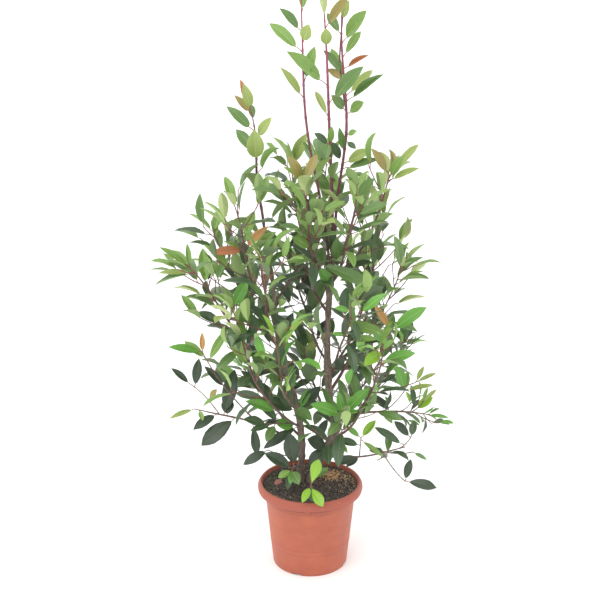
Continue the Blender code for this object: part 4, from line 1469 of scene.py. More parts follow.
# By their twig, or by the limb whose stem they sit on. A row's values stand in the order of SetLeaf.
SET_LEAVES: dict[str, list[SetLeaf]] = {
    "leader_left": leaves_from(
        (0.84, (279, 8), 0.094, 0.38, MID, 0.6), (0.8, (309, 24), 0.068, 0.66, PALE, 0.15),
        (0.77, (269, 23), 0.124, 0.34, FRESH, 0.5, 0.45, False),
        (0.66, (315, 46), 0.088, 0.4, FRESH, 0.5), (0.605, (280, 67), 0.122, 0.29, PALE, 0.65),
        (0.41, (302, 141), 0.06, 0.34, MID, 0.45),
    ),
    "leader_middle": leaves_from(
        (0.87, (350, -5), 0.116, 0.34, BRONZE, 0.6), (0.8, (326, 28), 0.066, 0.66, PALE, 0.2),
        (0.66, (286, 51), 0.148, 0.33, FRESH, 0.5), (0.595, (364, 66), 0.132, 0.38, MID, 0.45),
        (0.54, (315, 91), 0.094, 0.3, PALE, 0.6, 0.5, False), (0.44, (332, 126), 0.07, 0.42, FRESH, 0.4),
        (0.44, (314, 133), 0.062, 0.44, DARK, 0.3), (0.46, (326, 159), 0.056, 0.46, MID, 0.2),
        (0.47, (340, 159), 0.064, 0.44, DARK, 0.2, 0.5, False),
    ),
    "leader_right": leaves_from(
        (0.88, (349, 0), 0.066, 0.42, PALE), (0.83, (327, 13), 0.08, 0.4, MID, 0.3, 0.5, False),
        (0.8, (367, 10), 0.112, 0.44, FRESH, 0.55, 0.55),
        (0.75, (361, 31), 0.084, 0.36, FRESH, 0.5, 0.5, False), (0.71, (369, 55), 0.084, 0.32, RED, 0.8),
        (0.69, (323, 50), 0.094, 0.36, MID, 0.5),
        (0.655, (331, 48), 0.106, 0.32, FRESH, 0.6, 0.5, False),
        (0.61, (373, 70), 0.11, 0.3, PALE, 0.5, 0.5, False), (0.59, (384, 74), 0.126, 0.3, MID, 0.8),
        (0.555, (331, 95), 0.074, 0.55, MID), (0.545, (364, 102), 0.076, 0.62, FRESH, 0.35, 0.58),
        (0.47, (357, 131), 0.05, 0.62, FRESH, 0.2), (0.45, (356, 149), 0.06, 0.52, DARK, 0.2),
        (0.4, (339, 127), 0.084, 0.34, MID, 0.5), (0.67, (327, 69), 0.056, 0.46, BRONZE, 0.3),
        (0.34, (380, 159), 0.106, 0.26, MID, 0.4), (0.36, (372, 150), 0.094, 0.42, PALE),
    ),
    "upper_right": leaves_from(
        (1, (371, 148), 0.092, 0.36, BRONZE, 0.5), (0.95, (404, 155), 0.096, 0.44, FRESH, 0.4),
        (1, (419, 144), 0.124, 0.26, PALE, 0.6, 0.5, False), (0.93, (420, 168), 0.1, 0.28, PALE, 0.6),
    ),
    "upper_left_rear": leaves_from((1, (307, 133), 0.102, 0.38, PALE)),
    "upper_front": leaves_from(
        (1, (288, 155), 0.098, 0.36, BRONZE), (1, (317, 154), 0.096, 0.34, BRONZE, 0.45, 0.5, False),
        (0.38, (380, 291), 0.158, 0.24, MID, 0.4), (0.34, (332, 287), 0.06, 0.58, VIVID, 0.25),
        (0.5, (291, 237), 0.066, 0.5, FRESH, 0.25),
    ),
    "upper_right_front": leaves_from(
        (0.9, (375, 178), 0.088, 0.42, MID), (0.26, (336, 238), 0.08, 0.55, MID, 0.25),
    ),
    "inner_rear": leaves_from((0.6, (312, 313), 0.064, 0.6, DARK, 0.2)),
    "inner_low": leaves_from(
        (0.3, (300, 402), 0.07, 0.45, DEEP, 0.2), (0.62, (295, 386), 0.068, 0.42, DARK, 0.2),
        (0.12, (316, 440), 0.066, 0.4, DEEP, 0.2), (0.9, (294, 339), 0.08, 0.36, MID, 0.2),
        (0.98, (319, 343), 0.066, 0.58, PALE, 0.2),
    ),
    "upper_left": leaves_from(
        (1, (240, 79), 0.08, 0.34, RED, 0.6, 0.42, False), (1, (243, 83), 0.084, 0.44, PALE, 0.4, 0.42),
        (0.98, (234, 95), 0.062, 0.4, BRONZE, 0.45, 0.42),
        (0.93, (251, 104), 0.068, 0.48, MID, 0.2, 0.5, False),
        (0.85, (226, 106), 0.092, 0.38, MID, 0.45, 0.42, False),
        (0.8, (272, 117), 0.082, 0.44, PALE, 0.35, 0.45),
        (0.68, (236, 129), 0.084, 0.42, MID, 0.25, 0.48, False),
        (0.61, (254, 129), 0.104, 0.58, PALE, 0.3, 0.48),
    ),
    "mid_left": leaves_from(
        (1, (159, 247), 0.096, 0.25, FRESH, 0.55), (0.92, (158, 273), 0.09, 0.22, PALE, 0.5),
        (1, (187, 243), 0.066, 0.28, FRESH, 0.5),
    ),
    "mid_left_front": leaves_from(
        (0.52, (269, 226), 0.082, 0.34, AMBER, 0.5, 0.45),
        (0.5, (210, 254), 0.092, 0.34, RED, 0.45, 0.45),
    ),
    "red_shoot": leaves_from(
        (1, (248, 280), 0.076, 0.46, VIVID), (0.24, (245, 401), 0.098, 0.36, VIVID),
        (0.56, (237, 387), 0.062, 0.58, DARK, 0.15),
        (0.36, (235, 393), 0.092, 0.32, DARK, 0.2, 0.5, False), (0.02, (263, 449), 0.11, 0.3, DEEP, 0.2),
        (0.05, (276, 424), 0.056, 0.76, VIVID, 0.15),
    ),
    "left_knot": leaves_from(
        (1, (243, 419), 0.072, 0.42, DARK, 0.2), (0.85, (250, 431), 0.066, 0.34, DARK, 0.2),
        (0.7, (266, 442), 0.06, 0.5, MID, 0.2), (0.55, (257, 398), 0.09, 0.34, DARK, 0.2, 0.5, False),
    ),
    "front_left_low": leaves_from(
        (0.6, (279, 341), 0.108, 0.4, DARK, 0.15), (0.02, (257, 399), 0.112, 0.36, DARK, 0.2),
        (0.08, (278, 386), 0.078, 0.58, DARK, 0.15), (0, (311, 387), 0.07, 0.36, VIVID, 0.25),
        (0, (321, 386), 0.086, 0.42, DEEP, 0.2, 0.5, False), (0, (319, 403), 0.056, 0.36, MID, 0.2),
    ),
    "foot_left": leaves_from(
        (1, (278, 478), 0.044, 0.52, FRESH, 0.2, 0.55), (1, (299, 485), 0.05, 0.66, MID, 0.15, 0.45),
        (0.94, (290, 484), 0.044, 0.46, VIVID, 0.2, 0.55), (0.9, (287, 490), 0.054, 0.42, DARK),
        (0.9, (264, 453), 0.086, 0.46, DEEP), (0.8, (289, 432), 0.098, 0.5, DEEP, 0.15, 0.55),
    ),
    "foot_front": leaves_from(
        (1, (319, 459), 0.074, 0.46, LIME, 0.12, 0.66), (1, (302, 503), 0.054, 0.46, LIME),
        (1, (323, 507), 0.066, 0.48, LIME, 0.18, 0.6),
        (0.8, (329, 468), 0.06, 0.36, MID, 0.3, 0.5, False),
        (0.92, (312, 504), 0.052, 0.38, DARK, 0.25, 0.5, False),
    ),
    "low_left_upper": leaves_from(
        (1, (168, 347), 0.096, 0.28, VIVID), (1, (202, 332), 0.062, 0.32, AMBER, 0.5),
        (0.9, (184, 341), 0.07, 0.36, FRESH, 0.25),
        (0.84, (228, 329), 0.092, 0.28, FRESH, 0.4, 0.5, False),
        (0.66, (239, 350), 0.088, 0.34, MID, 0.3, 0.5, False), (0.36, (204, 366), 0.082, 0.32, DEEP),
    ),
    "low_left": leaves_from(
        (1, (169, 419), 0.076, 0.24, PALE, 0.5), (0.92, (203, 421), 0.046, 0.5, FRESH),
        (0.62, (193, 430), 0.076, 0.42, DEEP), (0.5, (235, 369), 0.125, 0.36, DEEP, 0.12, 0.5, False),
        (0.45, (228, 398), 0.056, 0.74, DEEP, 0.12, 0.5, False),
        (0.3, (201, 446), 0.104, 0.44, DEEP, 0.12, 0.55), (0, (257, 455), 0.084, 0.34, DEEP, 0.2, 0.6),
    ),
    "left_sprig": leaves_from(
        (1, (171, 368), 0.066, 0.32, DEEP), (0.86, (199, 358), 0.076, 0.38, DEEP, 0.15),
        (0.42, (217, 389), 0.07, 0.46, BRONZE, 0.3, 0.6),
    ),
    "centre_front": leaves_from(
        (0.98, (310, 404), 0.094, 0.4, VIVID, 0.15), (1, (370, 388), 0.1, 0.36, VIVID),
        (0.95, (338, 391), 0.068, 0.36, VIVID), (0.9, (327, 436), 0.074, 0.42, MID, 0.1),
        (0.04, (307, 439), 0.062, 0.74, DEEP, 0.12),
        (0.02, (308, 465), 0.066, 0.56, DEEP, 0.15, 0.5, False),
    ),
    "front_sprig": leaves_from(
        (1, (376, 420), 0.058, 0.42, LIME), (1, (345, 426), 0.054, 0.36, VIVID),
        (0.9, (383, 457), 0.068, 0.24, FRESH), (0.6, (338, 440), 0.052, 0.46, DARK),
    ),
    "lowest_right": leaves_from(
        (0, (336, 464), 0.074, 0.42, DEEP, 0.2), (0, (346, 467), 0.054, 0.42, DEEP, 0.2),
        (0.56, (369, 450), 0.058, 0.42, DARK, 0.2, 0.5, False),
    ),
    "upturned": leaves_from(
        (1, (415, 420), 0.046, 0.54, DARK), (0.95, (394, 421), 0.056, 0.46, DEEP),
        (0.4, (374, 427), 0.058, 0.3, DARK),
    ),
    "level_sprig": leaves_from((1, (427, 460), 0.042, 0.32, MID)),
    "droop_right": leaves_from(
        (1, (411, 459), 0.056, 0.46, DEEP), (1, (437, 488), 0.08, 0.4, DEEP, 0.2, 0.55),
    ),
    "low_right": leaves_from((1, (449, 418), 0.056, 0.24, VIVID)),
    "right_sprig": leaves_from(
        (1, (428, 387), 0.042, 0.26, FRESH), (1, (437, 389), 0.048, 0.26, PALE),
        (0.4, (433, 397), 0.046, 0.56, LIME),
    ),
    "right_shoot": leaves_from(
        (1, (396, 365), 0.08, 0.46, VIVID), (1, (434, 385), 0.078, 0.22, PALE),
        (0.95, (408, 371), 0.056, 0.44, FRESH),
    ),
    "right_twig": leaves_from((1, (424, 366), 0.046, 0.34, PALE), (1, (437, 373), 0.06, 0.24, PALE)),
    "front_top": leaves_from(
        (1, (427, 307), 0.096, 0.38, VIVID), (0.8, (347, 324), 0.104, 0.34, FRESH, 0.4),
        (1, (374, 305), 0.074, 0.34, AMBER, 0.6),
    ),
    "low_right_front": leaves_from(
        (0.92, (364, 366), 0.078, 0.52, LIME, 0.2), (0.78, (416, 353), 0.088, 0.4, VIVID, 0.3),
    ),
    "front_right": leaves_from(
        (0.86, (334, 308), 0.07, 0.42, VIVID), (0.45, (331, 334), 0.06, 0.36, VIVID),
    ),
    "low_left_front": leaves_from((1, (243, 465), 0.07, 0.42, DEEP, 0.2)),
}
FOOT_SPRIGS = ("foot_front", "foot_left")
SPARSE = (
    *FOOT_SPRIGS, "leader_left", "leader_middle", "leader_right", "upper_left", "lowest_right",
    "low_left_front", "low_left", "low_left_upper",
)


class Gap(NamedTuple):
    """A round patch of sky in the crown, in pixels of the picture."""

    x: float
    y: float
    radius: float


SKY_GAPS = (
    Gap(205, 234, 8), Gap(238, 214, 7), Gap(352, 220, 8), Gap(388, 264, 8), Gap(399, 276, 7),
    Gap(394, 303, 6), Gap(225, 351, 6), Gap(215, 390, 7), Gap(232, 395, 7), Gap(238, 405, 8),
    Gap(232, 434, 9), Gap(247, 436, 8), Gap(378, 367, 9), Gap(402, 408, 6), Gap(399, 437, 9),
    Gap(418, 444, 9), Gap(318, 342, 6), Gap(340, 322, 5), Gap(340, 292, 5),
)


@dataclass
class Crown:
    """The foliage: the stems of the masses, their side shoots and spurs, and the leaves on them."""

    frame: Frame
    view: Studio
    box: Array  # the two corners of the plain solids' box
    tip_radius: float = 0.0011
    curl: float = 0.225  # how far a twig's tip rises, as a share of its length
    least_bare: float = 0.015
    leaf_length: float = 0.096
    sizes: Pair = (0.74, 1.14)
    tip_loss: float = 0.2  # of a leaf's length at the twig's tip
    turn_jitter: float = 18
    spread_jitter: float = 9
    hang_below: float = 0.58  # height
    hang_depth: float = 0.2
    hang_limits: Pair = (-0.25, 1)
    face_up: float = 0.75
    face_on: float = 0.45
    face_jitter: float = 0.22
    twist: float = 0.3
    set_bend: float = 0.45
    set_face_up: float = 0.45
    clearance: float = 0.11  # of the leaf's length
    tries: int = 5
    retry_turn: float = 57
    tint_reach: float = 0.8
    tint_jitter: float = 0.14
    rank_tint: float = 0.04
    over_box: float = 0.01
    bough_spurs: int = 3
    trunk_clear: float = 5.0  # pixels either side of the bare trunk
    trunk_bare: Pair = (0.5, 0.735)  # heights
    leaf_clear: float = 5.0  # pixels round two points of a leaf that has its own place
    set_margins: Pair = (0.07, 0.02)  # of a sparse limb's stem, bare below and above its own leaves
    set_twig_bare: float = 0.2
    leaf_seed: int = 500
    bough_marks: int = 50  # points of a bough that leaves keep clear of
    twig_marks: int = 12
    blade_marks: tuple[float, float, float] = (0.4, 0.65, 0.97)  # of a leaf's length
    margin_mark: float = 0.8  # of a half's width
    twin_apart: float = 0.008
    twin_foot: float = 0.4
    twin_radius: float = 0.0022
    twig_rings: float = 0.004  # metres from ring to ring
    twig_sides: int = 7
    swelling: float = 0.3
    swelling_length: float = 0.0025

    def __post_init__(self) -> None:
        """Starts with no leaves and no twigs, and with the patches that leaves keep out of."""
        self.shoots: list[Shoot] = []
        self.leaves: list[Leaf] = []
        self.taken = np.zeros((0, 3))
        self.patches = np.column_stack((np.array(SKY_GAPS), np.full(len(SKY_GAPS), np.inf)))
        trunk = self.frame.paths["trunk"]
        low, high = self.trunk_bare
        self.keep_in_sight(trunk[(trunk[:, 2] > low) & (trunk[:, 2] < high)], self.trunk_clear)

    def keep_in_sight(self, points: Array, radius: float) -> None:
        """Keeps later leaves from between some points and the eye.

        Args:
            points: the points.
            radius: how far round each, in pixels.
        """
        reach = np.full(len(points), radius)
        kept = np.column_stack((self.view.seen(points), reach, self.view.depth(points)))
        self.patches = np.concatenate((self.patches, kept))

    def branches(self, kind: Branching, limb: Limb, stem: Array, count: int, rng: Rng) -> list[Array]:
        """Curved twigs of one kind that leave a stem and turn upwards.

        Args:
            kind: which kind.
            limb: the mass's row.
            stem: what they leave.
            count: how many.
            rng: where the jitter comes from.

        Returns:
            The path of each twig.
        """
        first, last = kind.shares
        shares = np.linspace(limb.bare + first, last, max(count, 1))[:count]
        if kind.stray:
            shares = shares + rng.uniform(-kind.stray, kind.stray, count)
        usual = limb.shoot_length if kind is SIDE_SHOOTS else 1.0
        at_foot, loss = kind.shrink
        found = []
        for number, share in enumerate(shares):
            turn = limb.bearing + kind.turn + GOLDEN_ANGLE * number + rng.uniform(-kind.jitter, kind.jitter)
            size = rng.uniform(*kind.lengths) * (at_foot - loss * share)
            found.append(self.twig(stem, float(share), turn, kind.spread, usual * size))
        return found

    def twig(self, stem: Array, share: float, turn: float, spread: float, length: float) -> Array:
        """A twig: point(t) = foot + length (t leaving + curl t^2 up).

        Args:
            stem: what it leaves.
            share: where on the stem.
            turn: degrees round the stem.
            spread: degrees from the stem's own direction.
            length: its length, before it curls.

        Returns:
            Its path.
        """
        foot = at_shares(stem, share)[0]
        run = heading(stem, share)
        side, other = across(run)
        turn, spread = math.radians(turn), math.radians(spread)
        outward = math.cos(turn) * side + math.sin(turn) * other
        leaving = math.cos(spread) * run + math.sin(spread) * outward
        t = np.linspace(0, 1, PATH_POINTS // 2)[:, None]
        return foot + length * (t * leaving + self.curl * t**2 * UP)

    def leaf_on(self, shoot: Shoot, share: float, turn: float, rng: Rng) -> Leaf:
        """A leaf at a share of a shoot, closer to the shoot's line and smaller towards its tip.

        Args:
            shoot: the twig.
            share: where on it.
            turn: degrees round it.
            rng: where the jitter comes from.

        Returns:
            The leaf.
        """
        habit = HABITS[shoot.kind]
        spot = at_shares(shoot.path, share)[0]
        run = heading(shoot.path, share)
        side, other = across(run)
        turn = math.radians(turn + rng.uniform(-self.turn_jitter, self.turn_jitter))
        wide, close = habit.spread
        jitter = rng.uniform(-self.spread_jitter, self.spread_jitter)
        spread = math.radians(wide + (close - wide) * share**2 + jitter)
        outward = math.cos(turn) * side + math.sin(turn) * other
        along = math.cos(spread) * run + math.sin(spread) * outward
        hanging = habit.hang * np.clip((self.hang_below - spot[2]) / self.hang_depth, *self.hang_limits)
        along = unit(along - UP * hanging * math.sin(spread))
        facing = self.face_up * UP + self.face_on * run + rng.normal(0, self.face_jitter, 3)
        normal = unit(facing - along * facing.dot(along))
        tints = SPRAYS[shoot.kind]
        place = self.tint_reach * share + rng.normal(0, self.tint_jitter) - self.rank_tint * shoot.rank
        size = self.leaf_length * habit.size * rng.uniform(*self.sizes)
        return Leaf(
            foot=spot,
            run=run,
            along=along,
            normal=normal,
            length=size * (1 - self.tip_loss * share**3),
            stalk=rng.uniform(*habit.stalk),
            width=rng.uniform(*habit.width),
            widest=rng.uniform(*habit.widest),
            fold=rng.uniform(*habit.fold),
            bend=rng.uniform(*habit.bend),
            twist=rng.uniform(-self.twist, self.twist),
            wave=rng.uniform(0, 1),
            tint=tints[int(np.clip(place * len(tints), 0, len(tints) - 1))],
        )

    def set_twig(self, given: SetTwig, stem: Array) -> Array:
        """A twig of the table: point(t) = foot + t way + 4 t (1 - t) bow up.

        Args:
            given: its row.
            stem: its limb's stem.

        Returns:
            Its path.
        """
        foot = at_shares(stem, given.share)[0]
        way = self.view.aim(foot, given.tip, given.length, True)
        t = np.linspace(0, 1, PATH_POINTS // 2)[:, None]
        return foot + t * way + 4 * t * (1 - t) * given.bow * given.length * UP

    def set_leaf(self, given: SetLeaf, shoot: Shoot) -> Leaf:
        """A leaf of the table.

        Args:
            given: its row.
            shoot: its twig.

        Returns:
            The leaf.
        """
        foot = at_shares(shoot.path, given.share)[0]
        way = self.view.aim(foot, given.tip, given.length, given.near)
        along = unit(way)
        facing = unit(np.array(self.view.eye) - foot) + self.set_face_up * UP
        return Leaf(
            foot=foot,
            run=heading(shoot.path, given.share),
            along=along,
            normal=unit(facing - along * facing.dot(along)),
            length=float(np.linalg.norm(way)),
            stalk=sum(HABITS[shoot.kind].stalk) / 2,
            width=given.width,
            widest=given.widest,
            fold=given.fold,
            bend=self.set_bend,
            twist=0.0,
            wave=given.share,
            tint=given.tint,
        )

    def samples(self, leaf: Leaf) -> Array:
        """Points of a leaf's blade, for the test that it is clear of other leaves.

        Args:
            leaf: the leaf.

        Returns:
            Three points along its rib and one near each margin.
        """
        side = np.cross(leaf.along, leaf.normal)
        half = 0.5 * leaf.width * leaf.length * (1 - leaf.stalk)
        along = leaf.foot + leaf.length * np.array(self.blade_marks)[:, None] * leaf.along
        wide = along[1] + np.array((-self.margin_mark, self.margin_mark))[:, None] * half * side
        return np.concatenate((along, wide))

    def room(self, leaf: Leaf) -> float:
        """How much room a leaf's blade has.

        Args:
            leaf: the leaf.

        Returns:
            The least distance to what is already there, or 0 past the crown's reach.
        """
        own = self.samples(leaf)
        low, high = self.box
        if (own < low - self.over_box).any() or (own > high + self.over_box).any():
            return 0.0
        gaps = self.taken[None] - own[:, None]
        return float(np.sqrt((gaps**2).sum(axis=-1).min()))

    def open_sky(self, leaf: Leaf) -> bool:
        """Whether a leaf hides nothing that stays in sight.

        Args:
            leaf: the leaf.

        Returns:
            True where its blade is out of the patches of sky, and off or behind what is kept in sight.
        """
        own = self.samples(leaf)
        away = np.linalg.norm(self.view.seen(own)[:, None] - self.patches[:, :2], axis=-1)
        behind = self.view.depth(own)[:, None] > self.patches[:, 3]
        return bool(((away > self.patches[:, 2]) | behind).all())

    def add_leaves(self, shoot: Shoot, rng: Rng) -> bool:
        """Puts leaves on a shoot from its tip down, each turned on round it until it has room, or left out.

        Args:
            shoot: the twig.
            rng: where the jitter comes from.

        Returns:
            Whether the shoot stays: a side twig does only with a leaf at its tip.
        """
        if shoot.name in FOOT_SPRIGS or shoot.name in [given.name for given in SET_TWIGS]:
            return True
        spots = shoot.spots(HABITS[shoot.kind].spacing)[::-1]
        if shoot.name in SPARSE:
            shares = [leaf.share for leaf in SET_LEAVES[shoot.name]]
            below, above = self.set_margins
            spots = spots[(spots < min(shares) - below) | (spots > max(shares) + above)]
        start = rng.uniform(0, 360)
        for number, share in enumerate(spots):
            placed = False
            for attempt in range(self.tries):
                turn = start + GOLDEN_ANGLE * number + self.retry_turn * attempt
                leaf = self.leaf_on(shoot, float(share), turn, rng)
                if self.room(leaf) > self.clearance * leaf.length and self.open_sky(leaf):
                    self.leaves.append(leaf)
                    self.taken = np.concatenate((self.taken, self.samples(leaf)))
                    placed = True
                    break
            if shoot.rank and number == 0 and not placed:
                return False
        return True

    def twin(self, stem: Array) -> Array:
        """A thin stem that leaves a leader halfway up, winds once round it and joins it at its tip.

        Args:
            stem: the leader's path.

        Returns:
            The thin stem's path.
        """
        share = np.linspace(0, 1, PATH_POINTS)
        stem = at_shares(stem, np.linspace(self.twin_foot, 1, PATH_POINTS))
        apart = self.twin_apart * np.sin(np.pi * share)
        turn = math.tau * share
        winding = np.stack((np.cos(turn), np.sin(turn), np.zeros(PATH_POINTS)), axis=1)
        return at_shares(stem, share) + apart[:, None] * winding

    def grow(self) -> None:
        """Grows every mass by the rule of the plain solids, with spurs between its side shoots."""
        for path in self.frame.paths.values():
            marks = at_shares(path, np.linspace(0, 1, self.bough_marks))
            self.taken = np.concatenate((self.taken, marks))
        for number, limb in enumerate(LIMBS):
            rng = np.random.default_rng(number + 1)
            stem, thick = self.frame.mass_stem(limb)
            long = length_of(stem)
            foot = self.frame.limb_path(limb)[0]
            bough = long * limb.bough / (1 - limb.bough)
            bare = max(limb.bare, self.least_bare / long)
            if limb.name not in [given.name for given in SET_TWIGS]:
                self.shoots.append(Shoot(limb.name, stem, thick, bare, limb, limb.tint, 0, bough))
            for given in SET_TWIGS:
                if given.limb == limb.name:
                    path = self.set_twig(given, stem)
                    start = float(np.linalg.norm(path[0] - foot))
                    own = (SIDE_SHOOTS.radius, self.set_twig_bare, limb, limb.tint, 1, start)
                    self.shoots.append(Shoot(given.name, path, *own))
            if limb.name in SPARSE:
                continue
            spurs = 0 if limb.tint == "bronze" else limb.shoots + 1
            inside = self.bough_spurs if limb.bough and limb.tint != "small" else 0
            for kind, carrier, count, tint in (
                (SIDE_SHOOTS, stem, limb.shoots, limb.tint),
                (SPURS, stem, spurs, limb.tint),
                (INNER_TWIGS, self.frame.paths.get(limb.name, stem), inside, "dark"),
            ):
                for path in self.branches(kind, limb, carrier, count, rng):
                    start = float(np.linalg.norm(path[0] - foot))
                    own = (kind.radius, kind.first, limb, tint, kind.rank, start)
                    self.shoots.append(Shoot("", path, *own))
        for shoot in self.shoots:
            for given in SET_LEAVES.get(shoot.name, []):
                self.leaves.append(self.set_leaf(given, shoot))
                own = self.samples(self.leaves[-1])
                self.taken = np.concatenate((self.taken, own))
                self.keep_in_sight(own[:2], self.leaf_clear)
            marks = at_shares(shoot.path, np.linspace(0, 1, self.twig_marks))
            self.taken = np.concatenate((self.taken, marks))
        self.shoots = [
            shoot
            for number, shoot in enumerate(self.shoots)
            if self.add_leaves(shoot, np.random.default_rng(self.leaf_seed + number))
        ]
        leader = next(shoot for shoot in self.shoots if shoot.name == "leader_right")
        self.shoots.append(leader._replace(path=self.twin(leader.path), thick=self.twin_radius))
        logging.info("%d shoots, %d leaves", len(self.shoots), len(self.leaves))

    def twig_surface(self, shoot: Shoot) -> Surface:
        """A shoot that keeps its thickness till near its tip, with a small swelling at each leaf:
        r(s) (1 + h exp(-(d / w)^2)), d being the distance to the nearest leaf.

        Args:
            shoot: the shoot.

        Returns:
            The surface.
        """
        length = length_of(shoot.path)
        rings = max(6, int(length / self.twig_rings))
        shares = np.linspace(0, 1, rings)
        radius = self.tip_radius + (shoot.thick - self.tip_radius) * (1 - shares ** (3 - shoot.rank))
        spots = shoot.spots(HABITS[shoot.kind].spacing)
        nearest = np.abs(shares[:, None] - spots).min(axis=1) * length
        radius = radius * (1 + self.swelling * np.exp(-((nearest / self.swelling_length) ** 2)))
        made = tube(at_shares(shoot.path, shares), radius, self.twig_sides)
        made.limb[:, 2] += shoot.start
        return made

    def build(self) -> None:
        """Makes the twigs, the stalks and the blades, each kind joined."""
        self.grow()
        barks = (
            (ShootBark("crimson_bark", (90, 60, 60), (108, 52, 70), (156, 72, 96), 0.22, 0.6), ("bronze",)),
            (ShootBark("maroon_bark", (94, 80, 74), (108, 74, 72), (146, 76, 86), 0.26, 0.48), ("fresh",)),
            (
                ShootBark("brown_bark", (92, 80, 74), (108, 86, 78), (134, 96, 82), 0.2, 0.44),
                ("mid", "dark", "lime", "small"),
            ),
        )
        for bark, kinds in barks:
            shoots = [shoot for shoot in self.shoots if shoot.limb.tint in kinds]
            made = Surface.joined([self.twig_surface(shoot) for shoot in shoots])
            nodes = ["foliage_" + limb.name for limb in LIMBS if limb.tint in kinds]
            place_piece(bark.name.replace("bark", "twigs"), made, [bark.material()], nodes)
        stalk = Bark("leaf_stalk", (124, 66, 62), (146, 104, 74), (160, 124, 88), 0.45, 0.2).material()
        place_piece("leaf_stalks", stalks(self.leaves), [stalk])
        for tint, skin in SKINS.items():
            chosen = [leaf for leaf in self.leaves if leaf.tint is tint]
            if chosen:
                place_piece("leaves_" + tint.value, blades(chosen), skin.materials(tint))


def column(leaves: Sequence[Leaf], name: str) -> Array:
    """One value of every leaf, as an array that is ready to meet stations and columns."""
    return np.array([getattr(leaf, name) for leaf in leaves])


STALK_RINGS = 5
STALK_SIDES = 4
STALK_RADII = (0.0013, 0.001)
KNEE_TURN = 0.6  # how much of the twig's own direction its knee keeps
STALK_OVERLAP = 1.06  # its length, as a share of the way to the blade


def stalks(leaves: Sequence[Leaf]) -> Surface:
    """The leaf stalks: each follows (1-t)^2 foot + 2t(1-t) knee + t^2 end, with its knee nearer the twig's
    own direction, in four-sided rings.

    Args:
        leaves: the leaves that they carry.

    Returns:
        All the stalks as one surface.
    """
    foot, run, along, normal = (column(leaves, name) for name in ("foot", "run", "along", "normal"))
    reach = (column(leaves, "length") * column(leaves, "stalk"))[:, None]
    knee = foot + 0.5 * reach * unit(along + KNEE_TURN * run)
    end = foot + STALK_OVERLAP * reach * along
    t = np.linspace(0, 1, STALK_RINGS)[None, :, None]
    path = (1 - t) ** 2 * foot[:, None] + 2 * t * (1 - t) * knee[:, None] + t**2 * end[:, None]
    heads = unit(np.gradient(path, axis=1))
    side = unit(np.cross(heads, normal[:, None]))
    other = np.cross(heads, side)
    angles = math.tau * np.arange(STALK_SIDES) / STALK_SIDES
    cosine, sine = np.cos(angles)[:, None], np.sin(angles)[:, None]
    around = cosine * side[:, :, None] + sine * other[:, :, None]
    radius = np.linspace(*STALK_RADII, STALK_RINGS)[:, None, None]
    rings = path[:, :, None] + radius * around
    each = STALK_RINGS * STALK_SIDES
    caps = np.array(((3, 2, 1, 0), (each - 4, each - 3, each - 2, each - 1)))
    template = np.concatenate((ring_faces(STALK_RINGS, STALK_SIDES), caps))
    quads = (template + each * np.arange(len(leaves))[:, None, None]).reshape(-1, 4)
    return Surface.plain(rings.reshape(-1, 3), quads, np.zeros((0, 3), int))


BLADE_STATIONS = np.array((0.07, 0.2, 0.36, 0.53, 0.7, 0.85, 0.95))
BLADE_COLUMNS = np.array((-1.0, -0.55, 0.0, 0.0, 0.55, 1.0))
RIB_HALF = 0.0009
BLADE_THICKNESS = 0.0007
ARCH = 0.1  # of a half's width
WAVE_HEIGHT = 0.07
WAVE_TURN = 13  # radians along the blade
WAVE_LAG = 1.3  # of one margin behind the middle, in radians


